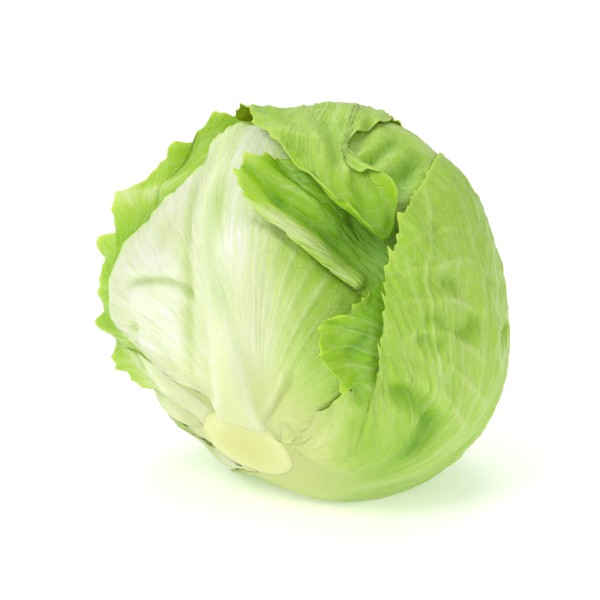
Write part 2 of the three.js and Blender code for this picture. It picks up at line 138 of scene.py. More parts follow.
# The leaves from the innermost to the outermost. base: where it starts round the stem, and how wide.
# rib: points of its main rib, in degrees from the stem and round it. margin: points in degrees from the
# stem and round it, outward curl in degrees and frill in millimetres. dent: how far it follows the
# front hollow, from 0 to 1.
LEAVES = {
    "leaf_right_shoulder": {
        "base": (128, 32),
        "rib": ((16, 128), (59, 111), (117, 102), (124, 94), (120, 64), (108, 38), (94, 22)),
        "margin": (
            (26, 146, 0, 0), (60, 130, 0, 0), (92, 138, 0, 0), (120, 160, 0, 0),
            (150, 160, 0, 0), (160, 60, 0, 0), (129, 8, 0, 0), (115, 0, 0, 0), (104, 8, 0, 0),
            (95, 18, 0, 0), (89, 28, 0, 0), (85, 38, 0, 0), (86, 48, 0, 0), (96, 58, 0, 0),
            (98, 78, 0, 0), (82, 94, 0, 0), (55, 100, 0, 0), (26, 108, 0, 0),
        ),
        "dent": 1,
    },
    "leaf_left_back": {
        "base": (-104, 50),
        "rib": ((16, -104), (50, -106), (85, -104), (120, -80)),
        "margin": (
            (24, -76, 0, 0), (48, -70, 0, 0), (78, -62, 0, 0), (105, -40, 0, 0),
            (122, -22, 0, 0), (131, -34, 0, 0), (132, -80, 0, 0), (122, -122, 0, 0),
            (98, -140, 0, 0), (65, -142, 0, 0), (25, -134, 0, 0),
        ),
        "dent": 0,
    },
    "leaf_lower_left": {
        "base": (-60, 60),
        "rib": ((16, -60), (38, -64), (62, -76)),
        "margin": (
            (20, -94, 0, 0), (28, -86, 4, 0.4), (38, -80, 12, 1), (48, -83, 22, 2),
            (57, -86, 25, 2), (65, -84, 15, 2), (74, -74, 0, 0), (70, -50, 0, 0),
            (55, -38, 0, 0), (38, -30, 0, 0), (22, -24, 0, 0),
        ),
        "dent": 0,
    },
    "leaf_left_frill": {
        "base": (-30, 18),
        "rib": ((16, -30), (47, -40), (70, -50), (100, -37)),
        "margin": (
            (22, -42, 0, 0), (34, -50, 0, 0), (46, -60, 0, 0), (57, -74, 8, 0.8),
            (66, -76, 20, 1.4), (75, -65, 24, 2), (83, -55, 34, 2.5), (90, -46, 34, 2.5),
            (97, -38, 25, 2), (105, -30, 24, 2), (113, -24, 24, 2), (117, -15, 14, 1), (109, -8, 0, 0),
            (90, -2, 0, 0), (66, 0, 0, 0), (42, -6, 0, 0), (24, -18, 0, 0),
        ),
        "dent": 0,
    },
    "leaf_front_rib": {
        "base": (22, 94),
        "rib": ((16, 3), (34, -1), (51, -5), (64, -9), (76, -12), (90, -13), (106, -13)),
        "margin": (
            (20, -28, 0, 0), (28, -37, 6, 0.6), (37, -48, 8, 0.8), (48, -56, 5, 0.8),
            (60, -64, 0, 0.6), (69, -60, 0, 0.8), (76, -50, 0, 0.8), (83, -39, 0, 1),
            (89, -29, 0, 1), (97, -22, 0, 1), (105, -18, 20, 1.5), (110, -13, 30, 1.5),
            (108, -4, 0, 0), (98, 8, 0, 0), (84, 14, 0, 0), (76, 24, 0, 0), (72, 36, 0, 0),
            (70, 50, 0, 0), (62, 66, 0, 0), (48, 76, 0, 0), (33, 80, 0, 0), (22, 74, 0, 0),
        ),
        "dent": 1,
    },
    "leaf_inner_flap": {
        "base": (81, 18),
        "rib": ((16, 84), (43, 76), (62, 66), (76, 45), (80, 28), (84, 10), (86, 1)),
        "margin": (
            (24, 70, 0, 0), (40, 70, 0, 0), (54, 62, 0, 0), (62, 52, 0, 0), (65, 42, 0, 0),
            (67.5, 30, 0, 0), (70.5, 19, 0, 0.2), (74, 9, 5, 0.8), (76, 3, 15, 2.5),
            (81, -2, 40, 5), (86, -4, 45, 5.5), (91, -1, 45, 5.5), (94, 4, 30, 3),
            (95, 14, 0, 0), (93, 28, 0, 0), (90, 42, 0, 0), (80, 56, 0, 0), (66, 72, 0, 0),
            (44, 84, 0, 0), (25, 92, 0, 0),
        ),
        "dent": 1,
    },
    "leaf_top": {
        "base": (-128, 14),
        "rib": ((16, -128), (62, -129), (113, -131), (152, -109), (156, -13), (134, 7), (96, 15), (80, 41)),
        "margin": (
            (26, -120, 0, 0), (55, -112, 5, 1), (85, -106, 10, 2), (108, -96, 15, 2),
            (124, -74, 15, 2), (128, -48, 10, 2), (121, -24, 8, 0.6), (114, -13, 12, 1),
            (107, -8, 25, 2), (99, -2, 15, 2), (95, 5, 25, 2.5), (89, 11, 35, 3),
            (87, 17, 25, 2), (84, 25, 30, 2), (79.5, 35, 45, 2.5), (82, 42, 50, 2.5),
            (89, 42, 50, 2.5), (97, 35, 30, 2), (96, 26, 8, 1), (103, 22, 5, 0.8),
            (112, 21, 5, 0.6), (121, 24, 3, 0.6), (131, 30, 0, 0.5), (142, 35, 0, 0.5),
            (152, 50, 0, 0.4), (158, 110, 0, 0), (142, 172, 0, 0), (115, -162, 0, 0),
            (84, -148, 0, 0), (54, -138, 0, 0), (26, -136, 0, 0),
        ),
        "dent": 0.3,
    },
    "leaf_right_frill": {
        "base": (104, 26),
        "rib": ((16, 104), (32, 99), (58, 63), (55, 32)),
        "margin": (
            (24, 90, 0, 0), (34, 80, 0, 0), (41, 66, 10, 0.5), (42, 56, 40, 3),
            (39.5, 48, 50, 4), (41, 40, 55, 4.5), (45, 33, 52, 4.5), (51, 29, 46, 4),
            (55, 34, 36, 3.5), (60, 40, 25, 2.5), (67, 44, 10, 1), (78, 51, 0, 0),
            (86, 66, 0, 0), (82, 84, 0, 0), (66, 98, 0, 0), (44, 108, 0, 0), (25, 118, 0, 0),
        ),
        "dent": 0.6,
    },
    "leaf_underside_back": {
        "base": (-176, 50),
        "rib": ((16, -176), (60, 178), (100, 178), (124, -178)),
        "margin": (
            (24, 158, 0, 0), (45, 150, 0, 0), (70, 150, 0, 0), (95, 156, 12, 1.6),
            (117, 166, 18, 2.4), (130, -176, 20, 2.6), (126, -156, 20, 2.6),
            (111, -142, 20, 2.6), (86, -136, 18, 2.4), (62, -132, 6, 1), (38, -134, 0, 0.2),
            (23, -146, 0, 0),
        ),
        "dent": 0,
    },
    "leaf_right_wrapper": {
        "base": (121, 146),
        "rib": ((16, 120), (40, 125), (62, 111), (82, 92), (110, 76)),
        "margin": (
            (19, 45, 0, 0), (23, 54, 0, 0.3), (28, 60, 0, 0.4), (33, 61, 0, 0.5),
            (39, 60, 0, 0.5), (44, 62, 3, 0.5), (47, 64, 6, 0.6), (49, 61, 10, 0.9),
            (53, 56, 12, 1), (59, 51, 12, 1), (66, 47, 10, 0.9), (73, 43, 8, 0.8),
            (81, 42, 6, 0.7), (89, 41.5, 4, 0.6), (98, 43.5, 2, 0.5), (109, 46.5, 0, 0.4),
            (121, 50, 0, 0.1), (134, 56, 0, 0.1), (146, 70, 0, 0.2), (148, 98, 0, 0.6),
            (136, 126, 5, 1), (117, 144, 10, 1.3), (99, 160, 15, 1.6), (84, 176, 15, 1.6),
            (70, -164, 12, 1.6), (50, -152, 6, 1), (32, -152, 0, 0.5), (20, -162, 0, 0),
        ),
        "dent": 0,
    },
}

# What the fine leaves have beyond their outline. cells: veins across and points along.
# jag: depth of the lobes and teeth of the margin. veins: distance between main veins at the margin,
# and their height. pucker: height of the tissue that swells between veins. tone: how green the leaf
# is near the stem and far from it, and how much greener its margin is. ruffle: how much higher the
# margin waves. pleats: their pitch and height; they also bring painted shade in their valleys and
# painted light on their ridges. teeth: share of the teeth in the jag. crowd: how much closer the
# veins lie along a frilled margin. shadow: how much shade is painted as darker green beside a leaf above.
PLAIN_LEAF = {"ruffle": 1.0, "pleats": (9.0, 0.0), "teeth": 0.16, "crowd": 2.5, "shadow": 0.0}
FINE = {
    "leaf_right_shoulder": {
        "cells": (150, 90), "jag": 0.6, "veins": (15, 0.45), "pucker": 0.9, "tone": (0.3, 0.5, 0.05),
    },
    "leaf_left_back": {
        "cells": (110, 60), "jag": 0.6, "veins": (16, 0.45), "pucker": 0.8, "tone": (0.12, 0.46, 0.1),
    },
    "leaf_lower_left": {
        "cells": (170, 60), "jag": 1.5, "veins": (13, 0.45), "pucker": 0.6, "tone": (0.08, 0.3, 0.32),
    },
    "leaf_left_frill": {
        "cells": (260, 80), "jag": 1.2, "veins": (12, 0.3), "pucker": 1.1, "tone": (0.2, 0.56, 0.06),
        "ruffle": 1.3, "pleats": (18.0, 1.6), "teeth": 0.06, "shadow": 0.4,
    },
    "leaf_front_rib": {
        "cells": (240, 120), "jag": 1.4, "veins": (9, 0.7), "pucker": 0.8, "tone": (0.18, 0.1, 0.1),
    },
    "leaf_inner_flap": {
        "cells": (260, 100), "jag": 3.4, "veins": (9, 0.2), "pucker": 1.2, "tone": (0.2, 0.52, 0.14),
        "ruffle": 1.7, "pleats": (10.0, 1.1), "shadow": 0.4,
    },
    "leaf_top": {
        "cells": (300, 125), "jag": 2.4, "veins": (14, 0.5), "pucker": 1.3, "tone": (0.25, 0.47, 0.06),
        "pleats": (12.0, 0.6), "teeth": 0.3, "shadow": 0.4,
    },
    "leaf_right_frill": {
        "cells": (240, 80), "jag": 3.4, "veins": (9, 0.5), "pucker": 0.8, "tone": (0.4, 0.6, 0.12),
        "ruffle": 1.5, "pleats": (11.0, 1.2), "shadow": 0.4,
    },
    "leaf_underside_back": {
        "cells": (150, 80), "jag": 1.6, "veins": (15, 0.5), "pucker": 0.8, "tone": (0.1, 0.5, 0.1),
    },
    "leaf_right_wrapper": {
        "cells": (400, 115), "jag": 2.8, "veins": (19, 0.3), "pucker": 1.2, "tone": (0.34, 0.5, 0.1),
        "crowd": 1.4, "teeth": 0.42,
    },
}

# Folds and creases on single leaves: points from and round the stem, rise or depth, half width, and
# how much shade is painted there as darker green (negative values paint it paler, as painted light)
CREASES = {
    "leaf_front_rib": (
        (((64, -51), (60, -39), (58, -30), (56, -23), (53, -18), (50, -13)), -3.0, 1.8, 0.35),
        (((57, -46), (54, -34), (52, -26)), 2.2, 5.0, 0.0),
        (((22, -31), (37, -20), (51, -18), (65, -19), (77, -20), (91, -21), (102, -20)), -1.5, 2.6, 0.4),
        (((41, -1), (53, -5), (64, -9), (73, -10), (83, -11), (92, -10)), -1.2, 4.2, 0.55),
        (((61, -5), (70, 0), (74, 7), (72, 16), (68, 24)), 1.6, 4.0, -0.1),
        (((46, -40), (38, -36), (29, -33)), -1.0, 3.0, 0.15),
        (((57, -50), (54, -35), (48, -23)), 1.4, 4.0, 0.0),
        (((64, -33), (72, -30), (80, -26)), -0.9, 4.0, 0.15),
        (((13, 24), (20, 29), (27.5, 30.5), (36, 31)), 1.8, 1.7, -0.25),
        (((16, 34), (23, 35), (30, 36), (38, 36)), -1.0, 1.8, 0.15),
        (((52, -53), (47, -47)), -1.8, 2.6, 0.3),
        (((78, 6), (64, 14), (50, 24)), 1.2, 4.0, 0.0),
    ),
    "leaf_lower_left": (
        (((60, -60), (48, -58), (36, -60), (24, -66)), 1.6, 3.0, 0.0),
        (((62, -70), (50, -70), (38, -70)), -1.6, 2.4, 0.4),
        (((16, -98), (22, -92), (28, -87), (35, -82), (42, -80)), -2.9, 6.5, 0.0),
    ),
    "leaf_left_back": (
        (((14, -84), (19, -88), (26, -92), (34, -99), (46, -104)), 3.4, 10.0, 0.0),
    ),
    "leaf_underside_back": (
        (((18, -150), (24, -156), (34, -164), (46, -170)), 1.8, 9.0, 0.0),
        (((15, -152), (23, -145), (31, -138), (40, -134), (52, -132), (60, -131)), -2.7, 6.5, -0.3),
    ),
    "leaf_left_frill": (
        (((72, -48), (78, -42), (82, -38), (84, -31), (87, -25), (92, -23), (97, -21)), -2.6, 2.0, 1.6),
        (((78, -60), (86, -53), (89, -46), (91, -37), (95, -30), (100, -27)), 1.8, 2.4, -0.9),
        (((67, -45), (73, -38), (77, -33), (80, -26), (84, -21)), 1.4, 1.8, -1.0),
    ),
    "leaf_inner_flap": (
        (((79, 0), (76, 8), (73.5, 17), (70.5, 28), (67, 41), (64, 50)), 3.4, 4.8, -1.4),
        (((84, 2), (80.5, 13), (78, 24), (76, 36)), -3.0, 2.6, 0.5),
        (((90, 4), (86, 14), (83, 24)), 1.8, 2.4, -0.2),
        (((92, 10), (88, 20), (84, 30)), -1.6, 2.0, 0.3),
        (((88, -2), (84, 6), (79, 12)), -1.4, 2.4, 0.3),
    ),
    "leaf_right_shoulder": (
        (((95, 24), (97.5, 25), (103, 27), (112, 31), (124, 35.6), (130, 37)), -4.4, 2.4, 1.0),
        (((102, 24), (109, 27), (116, 32), (126, 40)), 2.4, 2.4, 0.0),
        (((110, 36), (118, 41), (126, 44)), 2.2, 4.0, 0.0),
        (((124, 45), (116, 43), (108, 41), (100, 38.5), (93, 37), (88, 36)), -4.2, 4.6, 1.2),
        (((100, 30), (104, 36), (112, 38)), -1.4, 2.2, 0.3),
        (((132, 28), (126, 40), (118, 50)), -1.4, 3.0, 0.3),
    ),
    "leaf_top": (
        (((126, 0), (114, 6), (104, 12), (95, 17)), 1.8, 3.2, 0.0),
        (((124, 10), (112, 15), (101, 19), (92, 23)), -2.2, 2.8, 0.5),
        (((132, -20), (122, -8), (112, -1), (103, 4)), -1.6, 3.0, 0.3),
        (((96, 24), (90, 29), (83, 33)), -2.0, 2.0, 0.7),
        (((98, 22), (92, 25), (84, 29), (80, 34)), 2.0, 2.6, -0.2),
        (((94, 34), (88, 37), (82, 40)), 1.4, 2.4, 0.0),
        (((129, 26), (120, 25), (110, 23.5), (104, 22.5)), -2.8, 2.2, 0.6),
        (((113, 8), (104, 12.5), (97, 17.5), (90, 21.5)), 2.0, 2.6, -0.1),
        (((126, 17), (116, 18), (107, 20)), -2.0, 2.4, 0.4),
        (((120, -10), (112, -2), (104, 4)), 1.2, 3.0, 0.0),
        (((101, 2), (98, 8), (94, 14)), -1.4, 2.2, 0.3),
        (((129, -23), (116, -10), (109, -1), (105, 8)), -1.4, 2.6, 0.3),
        (((113, -8), (106, 3), (100, 11), (95, 16)), 1.3, 2.6, -0.1),
        (((137, -8), (129, 6), (130, 14)), -1.2, 2.4, 0.25),
    ),
    "leaf_right_wrapper": (
        (((18, 46), (25, 55), (33, 60), (40, 61), (48, 66), (52, 66)), -4.6, 10.0, -0.1),
        (((46, 66), (49, 69), (51.5, 76), (53, 84), (54, 93), (56, 104)), -4.0, 3.6, 0.7),
        (((52, 64), (56, 74), (58.5, 84), (59, 96)), 1.6, 3.4, 0.0),
        (((52, 88), (50, 97), (47, 104)), -2.4, 4.6, 0.9),
        (((26, 70), (32, 84), (38, 100), (44, 120)), 0.0, 17.0, 0.55),
        (((50, 92), (46, 99), (43, 106)), 0.0, 5.0, 0.9),
        (((113, 46), (101, 50.6), (89, 52.4), (79.4, 54), (73, 61.7), (67.6, 67.7), (63.8, 74.6),
          (60, 82), (56, 88)), 0.9, 0.9, -0.6),
        (((67, 67), (71, 73), (73.5, 80), (77, 92)), 0.6, 0.8, -0.45),
        (((63, 74), (66, 82), (68.5, 93), (73, 110)), 0.6, 0.8, -0.45),
        (((81, 54.5), (75.7, 50.2), (69.5, 48)), 0.6, 0.8, -0.45),
        (((72, 61), (77.3, 65.4), (81, 71), (86, 84)), 0.6, 0.8, -0.45),
        (((78, 53), (83, 58), (89, 63), (97, 74)), 0.6, 0.8, -0.45),
        (((69, 68), (65, 63), (60, 60)), 0.5, 0.8, -0.4),
        (((74, 62), (71, 56.5), (66.5, 52)), 0.5, 0.8, -0.4),
        (((59, 81), (61, 91.5), (63, 106)), 0.5, 0.8, -0.4),
        (((87, 52), (94.7, 56.2), (103, 65)), 0.5, 0.8, -0.4),
        (((91, 52.5), (85.6, 48.6), (79, 45)), 0.5, 0.8, -0.4),
        (((69, 60), (72, 68), (72, 75)), -1.6, 3.0, 0.4),
        (((80, 60), (84, 66), (83, 72)), -1.4, 3.0, 0.4),
        (((36, 62), (44, 74), (50, 84)), 1.1, 2.6, 0.0),
        (((63, 62), (66, 68), (66, 75)), -1.8, 3.4, 0.45),
        (((72, 74), (78, 80), (85, 82)), -2.0, 3.8, 0.6),
        (((86, 96), (92, 100), (98, 100)), -2.0, 3.4, 0.6),
        (((84, 50), (91, 54), (98, 56)), -1.2, 3.0, 0.3),
    ),
    "leaf_right_frill": (
        (((46, 48), (52, 50), (60, 52)), -2.2, 2.2, 0.4),
        (((44, 40), (50, 42), (57, 46)), 1.6, 2.6, 0.0),
    ),
}


def smooth(x):
    """Ease from 0 to 1 as x goes from 0 to 1."""
    t = np.clip(x, 0.0, 1.0)
    return t * t * (3.0 - 2.0 * t)


def unit(v):
    return v / np.maximum(np.linalg.norm(v, axis=-1, keepdims=True), 1e-12)


def stem_directions():
    """The stem's direction out of the head, and the two directions its round angle turns between."""
    tilt = math.radians(STEM_BELOW_LEVEL)
    turn = math.radians(STEM_TO_LEFT)
    axis = np.array([
        -math.sin(turn) * math.cos(tilt),
        -math.cos(turn) * math.cos(tilt),
        -math.sin(tilt),
    ])
    up_front = unit(np.array([0.0, 0.0, 1.0]) - axis * axis[2])
    return axis, up_front, np.cross(up_front, axis)


STEM_AXIS, UP_FRONT, TO_RIGHT = stem_directions()


def direction(from_stem, round_stem):
    a = np.radians(np.asarray(from_stem, float))[..., None]
    b = np.radians(np.asarray(round_stem, float))[..., None]
    return np.cos(a) * STEM_AXIS + np.sin(a) * (np.cos(b) * UP_FRONT + np.sin(b) * TO_RIGHT)


def degrees_between(p, q):
    return np.degrees(np.arccos(np.clip(np.sum(p * q, axis=-1), -1.0, 1.0)))


def millimetres_between(p, q):
    return np.radians(degrees_between(p, q)) * HEART_RADIUS


def chance(n):
    """A number from 0 to 1 that belongs to a whole number."""
    x = math.sin(n * 127.1 + 11.7) * 43758.5453
    return x - math.floor(x)


def heart_radius(dirs, dent):
    """Distance from the head's middle to the heart, with a share of the front hollow."""
    r = np.full(dirs.shape[:-1], HEART_RADIUS)
    for a, b, rise, spread in SWELLINGS:
        r = r + rise * np.exp(-((degrees_between(dirs, direction(a, b)) / spread) ** 2))
    far = degrees_between(dirs, direction(*HOLLOW_AT)) / HOLLOW_SPREAD
    r = r - dent * HOLLOW_DEPTH * np.exp(-(far**2))
    down = dirs[..., 2] < -0.5
    flat = HEART_FLAT / np.where(down, -dirs[..., 2], 1.0)
    overlap = np.maximum(0.0, 3.0 - np.abs(r - flat))
    return np.where(down, np.minimum(r, flat) - overlap**2 / 12.0, r)


def curve_through(points, count):
    """Equal steps along a smooth curve through points, with the points' further numbers."""
    points = np.asarray([tuple(p) + (0.0,) * (4 - len(p)) for p in points], float)
    at = direction(points[:, 0], points[:, 1])
    at = np.vstack([2 * at[0] - at[1], at, 2 * at[-1] - at[-2]])
    made, place = [], []
    for k in range(len(points) - 1):
        p = at[k:k + 4]
        gaps = np.sqrt(np.linalg.norm(np.diff(p, axis=0), axis=1))
        t = np.concatenate([[0.0], np.cumsum(gaps)])
        for u in np.arange(CURVE_STEPS) / CURVE_STEPS:
            x = t[1] + (t[2] - t[1]) * u
            a1 = (t[1] - x) / (t[1] - t[0]) * p[0] + (x - t[0]) / (t[1] - t[0]) * p[1]
            a2 = (t[2] - x) / (t[2] - t[1]) * p[1] + (x - t[1]) / (t[2] - t[1]) * p[2]
            a3 = (t[3] - x) / (t[3] - t[2]) * p[2] + (x - t[2]) / (t[3] - t[2]) * p[3]
            b1 = (t[2] - x) / (t[2] - t[0]) * a1 + (x - t[0]) / (t[2] - t[0]) * a2
            b2 = (t[3] - x) / (t[3] - t[1]) * a2 + (x - t[1]) / (t[3] - t[1]) * a3
            made.append((t[2] - x) / (t[2] - t[1]) * b1 + (x - t[1]) / (t[2] - t[1]) * b2)
            place.append(k + u)
    made.append(at[-2])
    place.append(len(points) - 1)
    made, place = unit(np.array(made)), np.array(place)
    length = np.concatenate([[0.0], np.cumsum(np.linalg.norm(np.diff(made, axis=0), axis=1))])
    wanted = np.linspace(0.0, length[-1], count + 1)
    dirs = unit(np.stack([np.interp(wanted, length, made[:, k]) for k in range(3)], axis=1))
    where = np.interp(wanted, length, place)
    extra = [np.interp(where, np.arange(len(points)), points[:, k]) for k in (2, 3)]
    return dirs, extra[0], extra[1]


class Outline:
    """A leaf's outline flattened round its middle, to tell how far a direction lies outside it."""

    def __init__(self, leaf):
        middle, width = leaf["base"]
        side = np.sign(math.sin(math.radians(leaf["margin"][0][1] - middle)))
        across = np.linspace(-0.5, 0.5, 7)
        base = direction(np.full(7, LEAF_START), middle + side * width * across)
        rim = np.vstack([base, curve_through(leaf["margin"], OUTLINE_STEPS)[0]])
        self.middle = unit(rim.sum(axis=0))
        self.x = unit(np.cross([0.0, 0.0, 1.0], self.middle))
        self.y = np.cross(self.middle, self.x)
        self.points = self.flatten(rim)

    def flatten(self, dirs):
        along = np.sum(dirs * self.middle, axis=-1, keepdims=True)
        out = dirs - along * self.middle
        size = np.maximum(np.linalg.norm(out, axis=-1), 1e-9)
        far = degrees_between(dirs, self.middle) / size
        return np.stack([far * (out @ self.x), far * (out @ self.y)], axis=-1)

    def degrees_outside(self, dirs):
        shape = dirs.shape[:-1]
        p = self.flatten(dirs.reshape(-1, 3))
        inside = np.zeros(len(p), bool)
        nearest = np.full(len(p), np.inf)
        for a, b in zip(np.roll(self.points, 1, axis=0), self.points):
            e = b - a
            rel = p - a
            if a[1] != b[1]:
                crosses = (a[1] > p[:, 1]) != (b[1] > p[:, 1])
                inside ^= crosses & (rel[:, 0] < e[0] * rel[:, 1] / e[1])
            t = np.clip(rel @ e / max(e @ e, 1e-12), 0.0, 1.0)
            nearest = np.minimum(nearest, np.sum((rel - t[:, None] * e) ** 2, axis=1))
        nearest = np.sqrt(nearest)
        return np.where(inside, -nearest, nearest).reshape(shape)


OUTLINES = [Outline(leaf) for leaf in LEAVES.values()]


def coverage(number, dirs, start, width):
    """1 inside a leaf's outline and up to a start outside it, then down to 0 over a width."""
    return smooth(1.0 - (OUTLINES[number].degrees_outside(dirs) - start) / width)


def layer_height(number, dirs):
    height = np.full(dirs.shape[:-1], LEAF_GAP)
    for under in range(number):
        height = height + LAYER * coverage(under, dirs, STEP_START, STEP_WIDTH)
    return height


def exposure(number, dirs, width):
    """1 where nothing lies over a leaf, down to 0 within a width of degrees from one that does."""
    bare = np.ones(dirs.shape[:-1])
    for above in range(number + 1, len(OUTLINES)):
        bare = bare * (1.0 - coverage(above, dirs, 0.0, width))
    return bare


def line_profile(dirs, points, half_width):
    """1 on a line through points, falling off to its sides and towards its ends."""
    line = curve_through(points, LINE_STEPS)[0]
    near = np.full(dirs.shape[:-1], -1.0)
    where = np.zeros(dirs.shape[:-1])
    for k, p in enumerate(line):
        close = dirs @ p
        where = np.where(close > near, k / LINE_STEPS, where)
        near = np.maximum(near, close)
    far = np.radians(np.degrees(np.arccos(np.clip(near, -1.0, 1.0)))) * HEART_RADIUS
    ends = smooth(where / 0.25) * smooth((1.0 - where) / 0.25)
    return np.exp(-((far / half_width) ** 2)) * ends


def pressed(number, dirs):
    """How far the deep creases of the leaves above push a leaf down with them."""
    down = np.zeros(dirs.shape[:-1])
    for above in list(LEAVES)[number + 1:]:
        for points, lift, half_width, _ in CREASES[above]:
            if lift < -PASSED_ON_DEPTH and half_width < PASSED_ON_WIDTH:
                down = down + lift * line_profile(dirs, points, half_width * 1.15)
    return down


def in_hollow(dirs):
    """1 in the middle of the front hollow, falling off round it; it sets where shade is painted in the
    hollow.
    """
    far = degrees_between(dirs, direction(*HOLLOW_AT)) / HOLLOW_SHADE_SPREAD
    return np.exp(-(far**2))


def averaged(values, reach):
    """Running mean of values over a reach to each side."""
    padded = np.pad(values, reach, mode="edge")
    return np.convolve(padded, np.ones(2 * reach + 1) / (2 * reach + 1), mode="valid")


def layered_wave(length, waves, seed):
    """Sum of waves along a length; each wave is a pitch in millimetres and a share."""
    total = np.zeros_like(length)
    for k, (pitch, share) in enumerate(waves):
        drift = 0.25 * np.sin(length / (pitch * 2.7) + 6.0 * chance(seed + 90 + k))
        total = total + share * np.sin((length / pitch + chance(seed + 40 * k) + drift) * 2 * math.pi)
    return total


def crowded(curve, weights, count):
    """Points along a curve, closer together where the weights are larger."""
    place = np.concatenate([[0.0], np.cumsum((weights[1:] + weights[:-1]) / 2)])
    wanted = np.interp(np.linspace(0.0, place[-1], count + 1), place, np.arange(len(place)))
    steps = np.arange(len(place))
    dirs, curl, frill = curve
    dirs = unit(np.stack([np.interp(wanted, steps, dirs[:, k]) for k in range(3)], axis=1))
    return dirs, np.interp(wanted, steps, curl), np.interp(wanted, steps, frill)


class LeafSheet:
    """The fine surface of one wrapper leaf, as a grid of veins across by points along them."""

    def __init__(self, name):
        self.name = name
        self.number = list(LEAVES).index(name)
        self.leaf = LEAVES[name]
        self.fine = {**PLAIN_LEAF, **FINE[name]}
        self.across, self.along = self.fine["cells"]
        self.rib_line = curve_through(self.leaf["rib"], RIB_STEPS)[0]
        self.find_margin()
        self.shares = self.vein_shares()
        self.measure()
        self.lay_out()
        self.raise_relief()
        self.give_thickness()
        self.give_values()

    def find_margin(self):
        """Tips of the veins on the margin, starts on the stem, and the margin's curl and frill."""
        margin = curve_through(self.leaf["margin"], MARGIN_STEPS)
        frilled = np.clip(margin[2] / FULL_FRILL, 0.0, 1.0)
        shown = exposure(self.number, margin[0], CURL_CLEARANCE) * frilled
        self.tips, curl, frill = crowded(margin, 1.0 + self.fine["crowd"] * shown, self.across)
        self.curl, self.frill = np.radians(curl), np.maximum(0.0, frill)
        middle, width = self.leaf["base"]
        side = np.sign(math.sin(math.radians(self.leaf["margin"][0][1] - middle)))
        turn = middle - side * width * np.linspace(-0.5, 0.5, self.across + 1)
        self.starts = direction(np.full(self.across + 1, LEAF_START), turn)

    def rib_at(self, share):
        place = np.clip(share, 0.0, 1.0) * RIB_STEPS
        first = np.minimum(RIB_STEPS - 1, place.astype(int))
        part = (place - first)[..., None]
        return unit(self.rib_line[first] * (1 - part) + self.rib_line[first + 1] * part)

    def vein_shares(self):
        """How far up the rib each vein leaves it, as a share of the rib."""
        shares = np.argmax(self.tips @ self.rib_line.T, axis=1) / float(RIB_STEPS)
        reach = max(3, self.across // 34)
        for _ in range(6):
            shares = averaged(shares, reach)
        return shares

    def place(self, s):
        """Directions at share s of each vein; s has one row for each vein."""
        share = self.shares[:, None] * s
        to_tip = (self.tips - self.rib_at(self.shares))[:, None, :]
        to_start = (self.starts - self.rib_line[0])[:, None, :]
        spread = (np.maximum(0.0, s) ** VEIN_SPREAD)[..., None]
        return unit(self.rib_at(share) + to_tip * spread + to_start * (1 - s)[..., None])

    def measure(self):
        """Lengths along the veins and the margin, and how bare of other leaves the margin is."""
        steps = np.linspace(0.0, 1.0, LENGTH_STEPS + 1)[None, :] * np.ones((self.across + 1, 1))
        path = self.place(steps)
        self.vein_length = millimetres_between(path[:, 1:], path[:, :-1]).sum(axis=1)
        gaps = millimetres_between(self.tips[1:], self.tips[:-1])
        self.margin_length = np.concatenate([[0.0], np.cumsum(gaps)])
        bare = exposure(self.number, self.tips, CURL_CLEARANCE)
        beyond = degrees_between(self.tips, STEM_AXIS) - MARGIN_FREE_FROM
        self.bare = bare * smooth(beyond / MARGIN_FREE_WIDTH)

    def ragged(self):
        """Millimetres that each vein ends beyond the smooth margin, in lobes and teeth."""
        lobes = layered_wave(self.margin_length, LOBES, self.number + 7)
        drift = 1.4 * layered_wave(self.margin_length, TEETH_DRIFT, self.number + 3)
        teeth = 1.0 - 2.0 * np.abs(np.sin(self.margin_length / TOOTH_PITCH + drift))
        shape = 0.6 * lobes + self.fine["teeth"] * teeth * (1.0 + lobes) - 0.3
        return shape * self.fine["jag"] * np.clip(self.frill, 0.1, 1.0) * self.bare

    def curl_zone(self):
        """Millimetres from the tip of each vein over which it can stand away from the head."""
        back = np.arange(1, int(CURL_ZONE) + 1)
        share_back = 1.0 - (back[None, :] + 1.0) / self.vein_length[:, None]
        open_back = exposure(self.number, self.place(share_back), 1.0) > 0.99
        zone = np.minimum(1.0 + np.cumprod(open_back, axis=1).sum(axis=1), CURL_ZONE)
        for _ in range(3):
            zone = averaged(zone, 2)
        return zone

    def lay_out(self):
        """Directions of the grid, and how far the curled margin rises off the head."""
        length = self.vein_length[:, None]
        wave = 0.5 + 0.5 * layered_wave(self.margin_length, FRILLS, self.number)
        zone = self.curl_zone()[:, None]
        s = 1.0 - (1.0 - np.linspace(0.0, 1.0, self.along + 1)) ** 1.3
        s = s[None, :] * (1.0 + self.ragged() / self.vein_length)[:, None]
        into = np.maximum(0.0, zone - (1.0 - s) * length)
        bend = (self.curl * self.bare * (0.75 + 0.5 * wave))[:, None]
        across, rise = np.zeros_like(s), np.zeros_like(s)
        for k in range(BEND_STEPS):
            share = (k + 0.5) / BEND_STEPS * into / (zone * FOLD_SHARE)
            angle = bend * smooth(share)
            across += np.cos(angle) * into / BEND_STEPS
            rise += np.sin(angle) * into / BEND_STEPS
        self.s = s
        self.dirs = self.place(s - (into - across) / length)
        self.depth_in = np.clip(into / zone, 0.0, 1.2)
        frill = 1.5 * self.fine["ruffle"] * self.frill * self.bare * wave
        self.rise = rise + frill[:, None] * self.depth_in**1.6
        self.share = np.clip(s, 0, 1) * self.shares[:, None]
        self.from_stem = degrees_between(self.dirs, STEM_AXIS)
        self.bare_all = exposure(self.number, self.dirs, CURL_CLEARANCE)
        self.rib = self.midrib()

